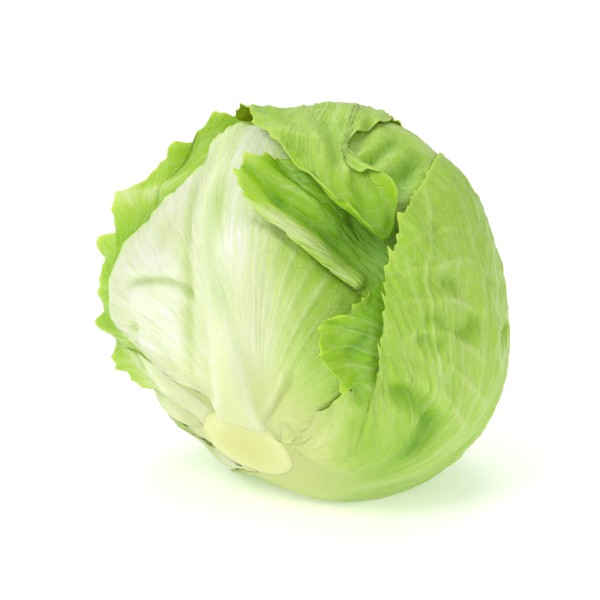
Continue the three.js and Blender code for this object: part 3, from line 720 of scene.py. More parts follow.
    def vein_ridges(self, plain):
        """1 on the main veins, which keep to the same places on the margin and meet at the rib."""
        length = self.margin_length
        spacing = np.linalg.norm(np.gradient(self.dirs, axis=0), axis=-1)
        spacing = spacing / np.maximum(spacing[:, -1:], 1e-6)
        pitch = self.fine["veins"][0]
        drift = 0.18 * np.sin(length / 23.0 + self.number) + 0.1 * np.sin(length / 9.0)
        phase = (length / pitch + drift)[:, None] % 1.0
        off = np.abs(phase - 0.5) * pitch * np.clip(spacing, 0.02, 1.5)
        vein = np.exp(-((off / (0.5 + 0.8 * (1 - self.s))) ** 2))
        vein = vein * smooth(self.s / 0.2) * smooth((1.0 - self.s) / 0.2)
        return vein, vein * np.clip(spacing, 0.0, 1.0) * plain

    def raise_relief(self):
        """Rise of the veins, pleats, folds and creases, and the shade painted with them: darker green in
        valleys, paler on ridges.
        """
        plain = smooth((self.from_stem - 20.0) / 34.0) * (1.0 - np.clip(self.rib, 0.0, 1.0))
        vein, ridges = self.vein_ridges(plain)
        pitch, height = self.fine["pleats"]
        pleats = layered_wave(
            self.margin_length, ((pitch, 0.6), (pitch * 0.61, 0.4)), self.number + 11)
        pleats = (pleats * self.bare)[:, None] * smooth(self.depth_in) * min(1.0, height)
        relief = self.fine["veins"][1] * ridges + pleats * height
        # Painted light and shade on the pleats: ridges paler, valleys darker green
        self.shade = -0.35 * pleats
        for points, lift, half_width, shade_amount in CREASES[self.name]:
            profile = line_profile(self.dirs, points, half_width)
            relief = relief + lift * profile
            self.shade = self.shade + shade_amount * profile
        self.relief = relief * smooth(self.bare_all * 1.5) + pressed(self.number, self.dirs)
        self.vein = vein * plain * min(1.0, self.fine["veins"][1] / 0.5)

    def joined_to_stem(self, level):
        """Bring the leaf's base to the rim of the stem, each leaf a little above the one under it."""
        cone = math.radians(STEM_CONE)
        rim = STEM_CUT * (1.0 + math.tan(cone) * CUT_TILT * (self.dirs @ TO_RIGHT) / math.sin(cone))
        rim = rim / math.cos(cone) - RIM_DROP - RIM_STEP * (len(LEAVES) - 1 - self.number)
        near = smooth((JOIN_END - self.from_stem) / JOIN_WIDTH)
        return level * (1.0 - near) + rim * near

    def give_thickness(self):
        """Outer and inner surface, with the midrib standing out of the outer one."""
        dirs = self.dirs
        from_margin = (1.0 - self.s) * self.vein_length[:, None]
        level = heart_radius(dirs, self.leaf["dent"]) + layer_height(self.number, dirs)
        lies_flat = smooth(1.0 - self.curl / math.radians(STANDING_CURL))[:, None] * self.bare_all
        level = level - MARGIN_SINK * lies_flat * smooth(1.0 - from_margin / MARGIN_SINK_WIDTH)
        level = self.joined_to_stem(level)
        points = dirs * (level + LEAF_THICKNESS / 2 + self.rise + self.relief)[..., None]
        normal = unit(np.cross(np.gradient(points, axis=1), np.gradient(points, axis=0)))
        normal[np.sum(normal * dirs, axis=-1) < 0] *= -1.0
        thinner = LEAF_THINNING * smooth((self.s - THIN_FROM) / (1.0 - THIN_FROM))
        half = 0.5 * (LEAF_THICKNESS - thinner)[..., None]
        self.outer = points + normal * half + dirs * (self.rib * self.bare_all)[..., None]
        self.inner = points - normal * half
        self.outer[..., 2] = np.maximum(self.outer[..., 2], -CENTRE_HEIGHT)
        self.inner[..., 2] = np.maximum(self.inner[..., 2], -CENTRE_HEIGHT + ON_GROUND_THICKNESS)

    def across_rib(self):
        """Millimetres from the rib, positive on its right."""
        ahead = self.rib_at(self.share + 0.03) - self.rib_at(self.share - 0.03)
        on_rib = self.rib_at(self.share)
        side = unit(np.cross(ahead, on_rib))
        return np.sum((self.dirs - on_rib) * side, axis=-1) * HEART_RADIUS

    def midrib(self):
        """The rib that stands out of the front leaf, widest where it joins the stem."""
        share = self.share
        if self.name != "leaf_front_rib":
            return np.zeros_like(share)
        from_rib = millimetres_between(self.dirs, self.rib_at(share))
        all_along, lower, foot = MIDRIB_HALF_WIDTH
        half_width = all_along + lower * (1.0 - smooth(share / 0.5)) + foot * (1.0 - smooth(share / 0.1))
        all_along, lower = MIDRIB_HEIGHT
        height = all_along + lower * (1.0 - smooth(share / 0.8))
        return height * np.exp(-((from_rib / half_width) ** 4)) * smooth((1.02 - share) / 0.12)

    def give_values(self):
        """Numbers for the leaf's material and relief: how green, ribbed, veined and creased it is, and how
        much shade is painted on it.
        """
        s, bare = self.s, self.bare[:, None]
        near, distant, more = self.fine["tone"]
        tone = near + (distant - near) * smooth((self.from_stem - 18.0) / 52.0)
        tone = tone + more * smooth((s - 0.55) / 0.45) * bare
        if self.name == "leaf_front_rib":
            right = self.across_rib()
            tone = tone - 0.06 * smooth(-right / 20.0) + 0.42 * smooth((right - 6.0) / 34.0)
        # Painted shade: darker green in crease valleys and beside a leaf lying above
        deep = self.shade + self.fine["shadow"] * (1.0 - exposure(self.number, self.dirs, 9.0))
        # Painted shade: darker green in the front hollow
        if self.leaf["dent"] > 0.2:
            deep = deep + in_hollow(self.dirs)
        from_margin = (1.0 - s) * self.vein_length[:, None]
        self.values = {
            "tone": tone,
            "rib": self.rib / np.maximum(1e-6, self.rib.max()) * self.bare_all,
            "base": smooth((40.0 - self.from_stem) / 20.0),
            "vein": self.vein,
            "edge": smooth(1.0 - from_margin / 2.6) * bare,
            "deep": deep,
            "pucker": self.fine["pucker"] * smooth((s - 0.15) / 0.5) * (1 - np.clip(self.rib, 0, 1)),
        }

    def mesh(self):
        rows, columns = self.across + 1, self.along + 1
        count = rows * columns
        points = np.concatenate([self.outer.reshape(-1, 3), self.inner.reshape(-1, 3)])
        points[:, 2] += CENTRE_HEIGHT
        at = np.arange(count).reshape(rows, columns)
        top = np.stack([at[:-1, :-1], at[:-1, 1:], at[1:, 1:], at[1:, :-1]], axis=-1).reshape(-1, 4)
        rim = np.concatenate([at[:-1, 0], at[-1, :-1], at[:0:-1, -1], at[0, :0:-1]])
        after = np.roll(rim, -1)
        side = np.stack([rim, after, after + count, rim + count], axis=-1)
        faces = np.concatenate([top, top[:, ::-1] + count, side])
        first = points[faces[:, 0]]
        span = np.cross(points[faces[:, 1]] - first, points[faces[:, 2]] - first)
        if np.sum(np.sum(span * (first + points[faces[:, 2]]) / 2, axis=1)) < 0:
            faces = faces[:, ::-1]
        values = {name: np.tile(v.reshape(-1), 2) for name, v in self.values.items()}
        u = np.broadcast_to(self.margin_length[:, None], self.s.shape)
        v = self.s * self.vein_length[:, None]
        uv = np.tile(np.stack([u.reshape(-1), v.reshape(-1)], axis=1), (2, 1))
        return solid(self.name + "_fine", points, faces.tolist(), values, uv)


def solid(name, points, faces, values, uv=None):
    """A mesh object from points in millimetres and faces, with values and a UV map on its points."""
    mesh = bpy.data.meshes.new(name)
    mesh.from_pydata((points * MM).tolist(), [], faces)
    for key, numbers in values.items():
        layer = mesh.attributes.new(key, "FLOAT", "POINT")
        layer.data.foreach_set("value", np.ascontiguousarray(numbers, dtype=np.float32))
    if uv is not None:
        layer = mesh.uv_layers.new(name="UVMap")
        corner = np.empty(len(mesh.loops), dtype=np.int32)
        mesh.loops.foreach_get("vertex_index", corner)
        layer.data.foreach_set("uv", uv[corner].astype(np.float32).ravel())
    mesh.polygons.foreach_set("use_smooth", np.ones(len(mesh.polygons), dtype=bool))
    mesh.update()
    piece = bpy.data.objects.new(name, mesh)
    bpy.context.scene.collection.objects.link(piece)
    return piece


def tree_of(name, inputs):
    """A Geometry Nodes tree with a geometry input and output and further named inputs."""
    tree = bpy.data.node_groups.new(name, "GeometryNodeTree")
    tree.interface.new_socket("Geometry", in_out="INPUT", socket_type="NodeSocketGeometry")
    tree.interface.new_socket("Geometry", in_out="OUTPUT", socket_type="NodeSocketGeometry")
    for label, kind, value in inputs:
        socket = tree.interface.new_socket(label, in_out="INPUT", socket_type=kind)
        if value is not None:
            socket.default_value = value
    return tree


def run_tree(piece, tree, settings):
    """Run a tree on a piece with its inputs set, and keep the result as a plain mesh."""
    modifier = piece.modifiers.new(tree.name, "NODES")
    modifier.node_group = tree
    for item in tree.interface.items_tree:
        if item.in_out == "INPUT" and item.name in settings:
            modifier[item.identifier] = settings[item.name]
    depsgraph = bpy.context.evaluated_depsgraph_get()
    made = bpy.data.meshes.new_from_object(piece.evaluated_get(depsgraph), depsgraph=depsgraph)
    made.name = piece.name
    piece.modifiers.remove(modifier)
    old = piece.data
    piece.data = made
    bpy.data.meshes.remove(old)
    if not len(made.polygons):
        raise RuntimeError(piece.name + " has no faces after " + tree.name)


# A colour mix's sockets: its factor, its two colours and its result
MIX_FACTOR, MIX_FIRST, MIX_SECOND, MIX_RESULT = 0, 6, 7, 2


class Board:
    """A node tree, with one method that adds a node and sets it up."""

    def __init__(self, tree):
        self.tree = tree

    def node(self, kind, settings=None, sockets=None):
        made = self.tree.nodes.new(kind)
        for key, value in (settings or {}).items():
            if key == "stops":
                ramp = made.color_ramp
                while len(ramp.elements) > 1:
                    ramp.elements.remove(ramp.elements[0])
                for k, (place, colour) in enumerate(value):
                    stop = ramp.elements[0] if k == 0 else ramp.elements.new(place)
                    stop.position = place
                    stop.color = tuple(colour) + (1.0,) * (4 - len(colour))
            else:
                setattr(made, key, value)
        for key, value in (sockets or {}).items():
            self.put(made.inputs[key], value)
        return made

    def put(self, socket, value):
        if isinstance(value, Value):
            value = value.socket
        if isinstance(value, bpy.types.NodeSocket):
            self.tree.links.new(value, socket)
        elif socket.type == "RGBA" and len(value) == 3:
            socket.default_value = (*value, 1.0)
        else:
            socket.default_value = value

    def attribute(self, name):
        made = self.node("ShaderNodeAttribute", {"attribute_name": name})
        return Value(self, made.outputs["Fac"])

    def mix(self, factor, first, second, blend="MIX"):
        made = self.node("ShaderNodeMix", {"data_type": "RGBA", "blend_type": blend})
        self.put(made.inputs[MIX_FACTOR], factor)
        self.put(made.inputs[MIX_FIRST], first)
        self.put(made.inputs[MIX_SECOND], second)
        return made.outputs[MIX_RESULT]


class Value:
    """A number in a node tree, on which Python's operators add Math nodes."""

    def __init__(self, board, socket):
        self.board = board
        self.socket = socket

    def math(self, operation, first, second=None, clamp=False):
        made = self.board.node("ShaderNodeMath", {"operation": operation, "use_clamp": clamp})
        self.board.put(made.inputs[0], first)
        if second is not None:
            self.board.put(made.inputs[1], second)
        return Value(self.board, made.outputs[0])

    def __add__(self, other):
        return self.math("ADD", self, other)

    __radd__ = __add__

    def __sub__(self, other):
        return self.math("SUBTRACT", self, other)

    def __rsub__(self, other):
        return self.math("SUBTRACT", other, self)

    def __mul__(self, other):
        return self.math("MULTIPLY", self, other)

    __rmul__ = __mul__

    def __pow__(self, other):
        return self.math("POWER", self, other)

    def clamped(self):
        return self.math("ADD", self, 0.0, clamp=True)

    def ramp(self, low, high):
        """0 below low, 1 above high."""
        return self.math("MULTIPLY", self - low, 1.0 / (high - low), clamp=True)


def vein_cells(board, uv):
    """Cells between the small veins of a leaf, from the places of its surface in millimetres."""
    warp = board.node("ShaderNodeTexNoise", {}, {"Vector": uv, "Scale": 0.14, "Detail": 2.0})
    bent = board.node("ShaderNodeVectorMath", {"operation": "MULTIPLY_ADD"}, {
        0: warp.outputs["Color"], 1: (9.0, 9.0, 0.0), 2: uv,
    })
    scaled = board.node("ShaderNodeVectorMath", {"operation": "MULTIPLY"}, {
        0: bent.outputs[0], 1: (0.15, 0.105, 0.0),
    })
    return scaled.outputs[0]


def relief_tree():
    """Swells the tissue between a leaf's veins, more where its pucker value is higher."""
    tree = tree_of("Leaf Relief", (
        ("Swell Height", "NodeSocketFloat", 0.001),
        ("Swell Size", "NodeSocketFloat", 90.0),
        ("Seed", "NodeSocketFloat", 0.0),
        ("Material", "NodeSocketMaterial", None),
    ))
    board = Board(tree)
    enter = board.node("NodeGroupInput")
    leave = board.node("NodeGroupOutput")
    pucker = board.node("GeometryNodeInputNamedAttribute", {"data_type": "FLOAT"}, {"Name": "pucker"})
    uv = board.node("GeometryNodeInputNamedAttribute", {"data_type": "FLOAT_VECTOR"}, {"Name": "UVMap"})
    place = board.node("GeometryNodeInputPosition")
    broad = board.node("ShaderNodeTexNoise", {"noise_dimensions": "4D"}, {
        "Vector": place.outputs[0], "W": enter.outputs["Seed"], "Scale": enter.outputs["Swell Size"],
        "Detail": 2.5, "Roughness": 0.55, "Distortion": 0.6,
    })
    cells = board.node("ShaderNodeTexVoronoi", {"feature": "DISTANCE_TO_EDGE"}, {
        "Vector": vein_cells(board, uv.outputs[0]), "Scale": 1.0,
    })
    blister = Value(board, cells.outputs["Distance"]).ramp(0.0, 0.30)
    patches = Value(board, broad.outputs["Fac"]).ramp(0.35, 0.65)
    amount = (Value(board, broad.outputs["Fac"]) - 0.5) * 2.6 + (blister - 0.6) * (patches * 0.7 + 0.25)
    amount = amount * Value(board, pucker.outputs[0]) * Value(board, enter.outputs["Swell Height"])
    radial = board.node("ShaderNodeVectorMath", {"operation": "SUBTRACT"}, {
        0: place.outputs[0], 1: (0.0, 0.0, CENTRE_HEIGHT * MM),
    })
    outwards = board.node("ShaderNodeVectorMath", {"operation": "NORMALIZE"}, {0: radial.outputs[0]})
    low = board.node("ShaderNodeSeparateXYZ", {}, {0: place.outputs[0]})
    above = Value(board, low.outputs["Z"]).ramp(0.001, 0.006)
    shift = board.node("ShaderNodeVectorMath", {"operation": "SCALE"}, {
        0: outwards.outputs[0], "Scale": amount * above,
    })
    moved = board.node("GeometryNodeSetPosition", {}, {
        "Geometry": enter.outputs["Geometry"], "Offset": shift.outputs[0],
    })
    real = board.node("GeometryNodeRealizeInstances", {}, {"Geometry": moved.outputs[0]})
    finish = board.node("GeometryNodeSetMaterial", {}, {
        "Geometry": real.outputs[0], "Material": enter.outputs["Material"],
    })
    tree.links.new(finish.outputs[0], leave.inputs[0])
    return tree


# Leaf colours from the palest to the greenest
LEAF_STOPS = (
    (0.0, (0.88, 0.93, 0.76)),
    (0.15, (0.75, 0.83, 0.48)),
    (0.30, (0.57, 0.73, 0.24)),
    (0.50, (0.39, 0.63, 0.066)),
    (0.70, (0.27, 0.53, 0.012)),
    (0.85, (0.19, 0.45, 0.004)),
    (1.0, (0.11, 0.33, 0.003)),
)


def leaf_material(name, colours):
    """Crisp lettuce leaf: pale at the rib, green at the margin, with branching veins, a soft shine, and
    shade painted as darker green in creases, the front hollow and beside leaves lying above.
    """
    material = bpy.data.materials.new(name)
    material.use_nodes = True
    board = Board(material.node_tree)
    material.node_tree.nodes.clear()
    output = board.node("ShaderNodeOutputMaterial")
    place = board.node("ShaderNodeTexCoord")
    uv = place.outputs["UV"]
    tone, rib = board.attribute("tone"), board.attribute("rib")
    vein, edge, deep = board.attribute("vein"), board.attribute("edge"), board.attribute("deep")
    base = board.attribute("base")

    def stretched(scale, detail, seed):
        turned = board.node("ShaderNodeMapping", {}, {
            "Vector": uv, "Scale": scale, "Location": (seed, seed * 2.0, 0.0),
        })
        made = board.node("ShaderNodeTexNoise", {}, {
            "Vector": turned.outputs[0], "Scale": 1.0, "Detail": detail, "Roughness": 0.6,
        })
        return Value(board, made.outputs["Fac"])

    streaks = stretched((0.42, 0.022, 1.0), 3.0, 3.0)
    threads = stretched((1.3, 0.05, 1.0), 2.0, 7.0)
    patches = stretched((0.045, 0.035, 1.0), 3.0, 5.0)
    cells = vein_cells(board, uv)
    net = board.node("ShaderNodeTexVoronoi", {"feature": "DISTANCE_TO_EDGE"}, {
        "Vector": cells, "Scale": 1.0,
    })
    lines = 1.0 - Value(board, net.outputs["Distance"]).ramp(0.0, 0.075)
    small = board.node("ShaderNodeTexVoronoi", {"feature": "DISTANCE_TO_EDGE"}, {
        "Vector": cells, "Scale": 2.7,
    })
    fine_lines = 1.0 - Value(board, small.outputs["Distance"]).ramp(0.0, 0.11)
    skin = board.node("ShaderNodeTexNoise", {}, {
        "Vector": place.outputs["Object"], "Scale": 900.0, "Detail": 2.0,
    })

    # The painted shade value also pushes the colour towards the greener end of the ramp
    green = tone + (patches - 0.5) * 0.28 + (streaks - 0.5) * 0.32 + deep * 0.3
    green = green + (threads - 0.5) * 0.18
    ramp = board.node("ShaderNodeValToRGB", {"stops": LEAF_STOPS}, {"Fac": green.clamped()})
    pale = board.mix((vein * 0.30 + lines * 0.14 + fine_lines * 0.06).clamped() * (1.0 - rib),
                     ramp.outputs["Color"], colours["vein"])
    joined = board.mix(base * 0.62, pale, colours["base"])
    white = board.mix(rib.ramp(0.05, 0.5) * 0.75, joined, colours["midrib"])
    washed = board.mix(rib.ramp(0.45, 1.0) * 0.6, white, colours["base"])
    rimmed = board.mix(edge * 0.6, washed, colours["edge"])
    # Painted shade: creases, the front hollow and places beside a leaf lying above are mixed towards a dark
    # green
    painted_recess_shade = board.mix((deep * 0.45).clamped(), rimmed, (0.21, 0.43, 0.015))

    height = vein * 0.5 + lines * 0.30 + fine_lines * 0.12 + (threads - 0.5) * 0.25
    height = height + Value(board, skin.outputs["Fac"]) * 0.05
    bump = board.node("ShaderNodeBump", {}, {
        "Strength": 0.42, "Distance": 0.0013, "Height": height,
    })
    rough = 0.34 + (patches - 0.5) * 0.16 + lines * 0.06 + Value(board, skin.outputs["Fac"]) * 0.06
    shader = board.node("ShaderNodeBsdfPrincipled", {}, {
        "Base Color": painted_recess_shade,
        "Roughness": rough,
        "Normal": bump.outputs[0],
        "Subsurface Weight": 0.3,
        "Subsurface Radius": (0.9, 1.0, 0.28),
        "Subsurface Scale": 0.004,
        "Coat Weight": 0.12,
        "Coat Roughness": 0.28,
        "Specular IOR Level": 0.3,
    })
    material.node_tree.links.new(shader.outputs[0], output.inputs[0])
    return material


def stem_material():
    """Cut lettuce stem: pale yellow pith, a whiter ring, a faint brown cast where it was cut."""
    material = bpy.data.materials.new("cut_stem")
    material.use_nodes = True
    board = Board(material.node_tree)
    material.node_tree.nodes.clear()
    output = board.node("ShaderNodeOutputMaterial")
    place = board.node("ShaderNodeTexCoord")
    ring = board.attribute("ring")
    pith = board.node("ShaderNodeTexNoise", {}, {
        "Vector": place.outputs["Object"], "Scale": 140.0, "Detail": 4.0, "Roughness": 0.6,
    })
    grain = board.node("ShaderNodeTexNoise", {}, {
        "Vector": place.outputs["Object"], "Scale": 700.0, "Detail": 2.0,
    })
    mottle, dots = Value(board, pith.outputs["Fac"]), Value(board, grain.outputs["Fac"])
    colour = board.node("ShaderNodeValToRGB", {"stops": (
        (0.0, (0.67, 0.69, 0.26)),
        (0.55, (0.70, 0.73, 0.30)),
        (0.70, (0.74, 0.77, 0.36)),
        (0.84, (0.74, 0.78, 0.38)),
        (1.0, (0.66, 0.71, 0.27)),
    )}, {"Fac": (ring + (mottle - 0.5) * 0.22).clamped()})
    aged = board.mix(mottle.ramp(0.58, 0.80) * 0.22, colour.outputs["Color"], (0.62, 0.44, 0.12))
    bump = board.node("ShaderNodeBump", {}, {
        "Strength": 0.35, "Distance": 0.0006, "Height": mottle * 0.7 + dots * 0.3,
    })
    shader = board.node("ShaderNodeBsdfPrincipled", {}, {
        "Base Color": aged,
        "Roughness": 0.42 + dots * 0.14,
        "Normal": bump.outputs[0],
        "Subsurface Weight": 0.4,
        "Subsurface Radius": (1.0, 0.95, 0.4),
        "Subsurface Scale": 0.005,
        "Specular IOR Level": 0.4,
    })
    material.node_tree.links.new(shader.outputs[0], output.inputs[0])
    return material


def heart_piece():
    """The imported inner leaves: a ball whose surface steps down where one inner leaf ends."""
    down, around = HEART_CELLS
    a = np.linspace(0.0, 180.0, down + 1)[:, None] * np.ones((1, around))
    b = np.linspace(0.0, 360.0, around, endpoint=False)[None, :] * np.ones((down + 1, 1))
    dirs = direction(a, b)
    edges = ((b + 0.9 * a + 720.0) % 90.0) / 90.0
    step = HEART_STEP * edges * np.sin(np.radians(a))
    radius = heart_radius(dirs, 1.0) - HEART_INSET - step + pressed(-1, dirs)
    socket = (a < STEM_CONE + SOCKET_CLEARANCE) & (radius > STEM_INNER_END)
    radius = np.where(socket, STEM_INNER_END + 1.0, radius)
    points = dirs * radius[..., None] + np.array([0.0, 0.0, CENTRE_HEIGHT])
    count = (down - 1) * around
    body = points[1:-1].reshape(-1, 3)
    points = np.vstack([body, points[0, 0], points[-1, 0]])
    at = np.arange(count).reshape(down - 1, around)
    right = np.roll(at, -1, axis=1)
    quads = np.stack([at[:-1], right[:-1], right[1:], at[1:]], axis=-1).reshape(-1, 4)
    caps = [(count, right[0, k], at[0, k]) for k in range(around)]
    caps += [(count + 1, at[-1, k], right[-1, k]) for k in range(around)]
    plain = np.zeros(count + 2)
    values = {
        "tone": np.append(0.45 + 0.35 * edges[1:-1].reshape(-1), (0.5, 0.5)),
        # Painted shade: darker green in the front hollow
        "deep": np.append(in_hollow(dirs[1:-1]).reshape(-1), (0.0, 0.0)),
        "pucker": np.full(count + 2, 0.5),
        "rib": plain,
        "vein": plain,
        "edge": plain,
        "base": plain,
    }
    uv = np.stack([np.append(b[1:-1].reshape(-1), (0, 0)), np.append(a[1:-1].reshape(-1), (0, 180))], axis=1)
    return solid("heart_fine", points, quads.tolist() + caps, values, uv)


def stem_piece():
    """The stem with its slightly hollowed and uneven cut face and rounded rim."""
    around, rings = STEM_CELLS
    turn = np.linspace(0.0, 2 * math.pi, around, endpoint=False)
    spread = math.tan(math.radians(STEM_CONE))
    profile = [(STEM_INNER_END, 0.0, 0.9)]
    profile += [(STEM_INNER_END + k * 8.0, 1.0, 0.9) for k in range(5)]
    profile += [(STEM_CUT - STEM_SHOULDER, 1.0, 1.0), (STEM_CUT - 1.7, 0.99, 1.0)]
    for k in range(rings):
        out = 0.97 * (1.0 - k / rings)
        dome = CUT_DOME * (1.0 - out**2)
        groove = CUT_GROOVE * math.exp(-((out - 0.74) / 0.06) ** 2)
        rounded = CUT_ROUNDING * float(smooth((out - 0.72) / 0.28))
        profile.append((STEM_CUT + (dome - groove - rounded), out, out))
    points, ring_values = [], []
    for level, out, ring in profile:
        radius = level * spread * out if level < STEM_CUT - 3 else STEM_CUT * spread * out
        wobble = 1.0 + 0.02 * np.sin(3 * turn + 0.6) + 0.012 * np.sin(7 * turn)
        r = radius * wobble
        sloped = r * CUT_TILT * np.sin(turn) if level > STEM_CUT - 4 else 0.0 * turn
        rough = 0.16 * np.sin(5 * turn + out * 9.0) * out if level > STEM_CUT - 0.2 else 0.0
        height = level + sloped + rough
        points.append(height[:, None] * STEM_AXIS + (r * np.cos(turn))[:, None] * UP_FRONT
                      + (r * np.sin(turn))[:, None] * TO_RIGHT)
        ring_values.append(np.full(around, ring))
    last = STEM_AXIS * (STEM_CUT + 0.6)
    levels = len(profile)
    points = np.vstack(points + [last[None, :]]) + np.array([0.0, 0.0, CENTRE_HEIGHT])
    at = np.arange(levels * around).reshape(levels, around)
    right = np.roll(at, -1, axis=1)
    quads = np.stack([at[:-1], at[1:], right[1:], right[:-1]], axis=-1).reshape(-1, 4).tolist()
    quads += [(int(at[-1, k]), levels * around, int(right[-1, k])) for k in range(around)]
    piece = solid("stem_fine", points, quads, {"ring": np.concatenate(ring_values + [[0.0]])})
    work = bmesh.new()
    work.from_mesh(piece.data)
    bmesh.ops.remove_doubles(work, verts=work.verts, dist=1e-6)
    bmesh.ops.recalc_face_normals(work, faces=work.faces)
    work.to_mesh(piece.data)
    work.free()
    return piece


class LettuceSizes(bpy.types.PropertyGroup):
    """Sizes of the leaves' fine swellings and of the floor."""

    swell_height: bpy.props.FloatProperty(
        name="Swell Height", description="Height of the tissue that swells between the veins",
        default=1.0 * MM, min=0.0, max=4.0 * MM, unit="LENGTH")
    swell_size: bpy.props.FloatProperty(
        name="Swells a Metre", description="How many swells lie along a metre of leaf",
        default=75.0, min=10.0, max=300.0)
    floor_size: bpy.props.FloatProperty(
        name="Floor Size", description="Side of the floor under the head",
        default=12.0, min=1.0, max=50.0, unit="LENGTH")


class LettuceColours(bpy.types.PropertyGroup):
    """Colours of the leaves and the stage."""

    midrib: bpy.props.FloatVectorProperty(
        name="Midrib", description="Colour of the thick white rib of the front leaf",
        subtype="COLOR", size=3, default=(0.84, 0.89, 0.66), min=0.0, max=1.0)
    base: bpy.props.FloatVectorProperty(
        name="Leaf Bases", description="Colour of the leaves where they join the stem",
        subtype="COLOR", size=3, default=(0.66, 0.70, 0.27), min=0.0, max=1.0)
    vein: bpy.props.FloatVectorProperty(
        name="Veins", description="Colour of the veins",
        subtype="COLOR", size=3, default=(0.74, 0.86, 0.46), min=0.0, max=1.0)
    margin: bpy.props.FloatVectorProperty(
        name="Margins", description="Colour of the thin margins that light comes through",
        subtype="COLOR", size=3, default=(0.56, 0.80, 0.09), min=0.0, max=1.0)
    floor: bpy.props.FloatVectorProperty(
        name="Floor", description="Colour of the floor",
        subtype="COLOR", size=3, default=(0.93, 0.93, 0.93), min=0.0, max=1.0)


class LETTUCE_OT_stem(bpy.types.Operator):
    """Add the cut stem"""

    bl_idname = "lettuce.stem"
    bl_label = "Add Stem"

    def execute(self, context):
        piece = stem_piece()
        piece.data.materials.append(stem_material())
        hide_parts("stem")
        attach(piece, "root")
        return {"FINISHED"}


def leaf_colours(context):
    looks = context.scene.lettuce_colours
    return {
        "midrib": tuple(looks.midrib),
        "vein": tuple(looks.vein),
        "edge": tuple(looks.margin),
        "base": tuple(looks.base),
    }


class LETTUCE_OT_heart(bpy.types.Operator):
    """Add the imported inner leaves"""

    bl_idname = "lettuce.heart"
    bl_label = "Add Heart"

    def execute(self, context):
        piece = heart_piece()
        piece.data.materials.append(leaf_material("heart_leaf", leaf_colours(context)))
        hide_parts("heart")
        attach(piece, "root")
        return {"FINISHED"}


class LETTUCE_OT_leaves(bpy.types.Operator):
    """Add the wrapper leaves from the innermost to the outermost"""

    bl_idname = "lettuce.leaves"
    bl_label = "Add Leaves"

    def execute(self, context):
        sizes = context.scene.lettuce_sizes
        tree = relief_tree()
        look = leaf_material("wrapper_leaf", leaf_colours(context))
        for number, name in enumerate(LEAVES):
            piece = LeafSheet(name).mesh()
            run_tree(piece, tree, {
                "Swell Height": sizes.swell_height,
                "Swell Size": sizes.swell_size,
                "Seed": float(number),
                "Material": look,
            })
            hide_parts(name)
            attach(piece, "root")
        return {"FINISHED"}


def area_light(name, place, target, size, watts, colour=(1.0, 1.0, 1.0)):
    lamp = bpy.data.lights.new(name, "AREA")
    lamp.shape = "DISK"
    lamp.size = size
    lamp.energy = watts
    lamp.color = colour
    made = bpy.data.objects.new(name, lamp)
    made.location = place
    towards = np.array(target) - np.array(place)
    made.rotation_euler = Vector(towards).to_track_quat("-Z", "Y").to_euler()
    bpy.context.scene.collection.objects.link(made)
    return made


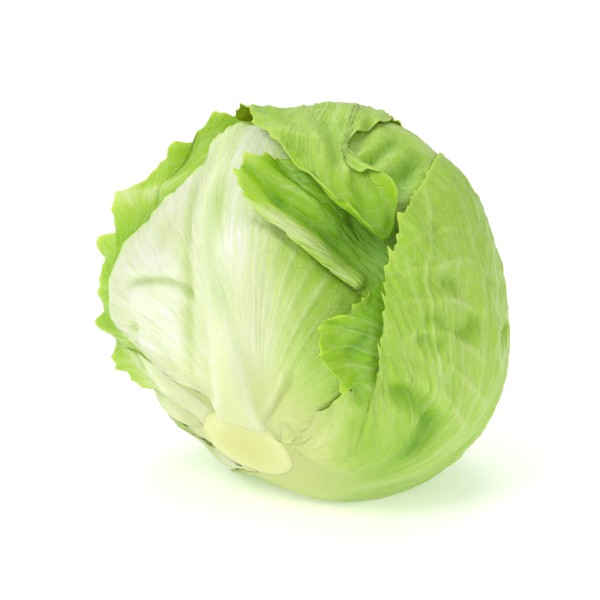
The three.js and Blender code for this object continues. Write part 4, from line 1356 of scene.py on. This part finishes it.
class LETTUCE_OT_stage(bpy.types.Operator):
    """Add the floor, the lights and the camera"""

    bl_idname = "lettuce.stage"
    bl_label = "Add Stage"

    def execute(self, context):
        scene = context.scene
        half = scene.lettuce_sizes.floor_size / 2
        mesh = bpy.data.meshes.new("floor")
        mesh.from_pydata(
            [(-half, -half, 0), (half, -half, 0), (half, half, 0), (-half, half, 0)], [], [(0, 1, 2, 3)])
        floor = bpy.data.objects.new("floor", mesh)
        scene.collection.objects.link(floor)
        material = bpy.data.materials.new("floor")
        material.use_nodes = True
        shader = material.node_tree.nodes["Principled BSDF"]
        shader.inputs["Base Color"].default_value = (*scene.lettuce_colours.floor, 1.0)
        shader.inputs["Roughness"].default_value = 0.6
        shader.inputs["Specular IOR Level"].default_value = 0.15
        shader.inputs["Emission Color"].default_value = (1.0, 1.0, 1.0, 1.0)
        shader.inputs["Emission Strength"].default_value = 0.3
        floor.data.materials.append(material)

        world = bpy.data.worlds.new("studio")
        world.use_nodes = True
        world.node_tree.nodes["Background"].inputs["Color"].default_value = (1.0, 1.0, 1.0, 1.0)
        world.node_tree.nodes["Background"].inputs["Strength"].default_value = 0.56
        scene.world = world
        middle = (0.0, 0.0, CENTRE_HEIGHT * MM)
        area_light("key", (-0.9, -1.0, 1.25), middle, 0.9, 14.0)
        area_light("fill", (1.2, -0.9, 0.5), middle, 1.0, 3.0)
        area_light("top", (0.1, 0.5, 1.5), middle, 1.0, 7.0)

        camera = bpy.data.cameras.new("camera")
        camera.sensor_width = 36.0
        camera.lens = 164.2
        camera.shift_x = -0.01
        camera.shift_y = -0.0033
        seen = bpy.data.objects.new("camera", camera)
        above = math.radians(VIEW_ABOVE)
        height = middle[2] + VIEW_DISTANCE * math.sin(above)
        seen.location = (0.0, -VIEW_DISTANCE * math.cos(above), height)
        seen.rotation_euler = (math.radians(90.0) - above, 0.0, 0.0)
        scene.collection.objects.link(seen)
        scene.camera = seen
        scene.view_settings.view_transform = "Standard"
        return {"FINISHED"}


class LETTUCE_PT_panel(bpy.types.Panel):
    bl_idname = "LETTUCE_PT_panel"
    bl_label = "Head of Lettuce"
    bl_space_type = "VIEW_3D"
    bl_region_type = "UI"
    bl_category = "Lettuce"

    def draw(self, context):
        for group in (context.scene.lettuce_sizes, context.scene.lettuce_colours):
            box = self.layout.box()
            for key in group.bl_rna.properties.keys():
                if key not in {"rna_type", "name"}:
                    box.prop(group, key)
        for operator in OPERATORS:
            self.layout.operator(operator.bl_idname)


OPERATORS = (LETTUCE_OT_stem, LETTUCE_OT_heart, LETTUCE_OT_leaves, LETTUCE_OT_stage)
CLASSES = (LettuceSizes, LettuceColours, *OPERATORS, LETTUCE_PT_panel)


def register():
    for item in CLASSES:
        bpy.utils.register_class(item)
    bpy.types.Scene.lettuce_sizes = bpy.props.PointerProperty(type=LettuceSizes)
    bpy.types.Scene.lettuce_colours = bpy.props.PointerProperty(type=LettuceColours)


def unregister():
    del bpy.types.Scene.lettuce_colours
    del bpy.types.Scene.lettuce_sizes
    for item in reversed(CLASSES):
        bpy.utils.unregister_class(item)


def main():
    register()
    bpy.ops.lettuce.stage()
    bpy.ops.lettuce.stem()
    bpy.ops.lettuce.heart()
    bpy.ops.lettuce.leaves()


if __name__ == "__main__":
    main()
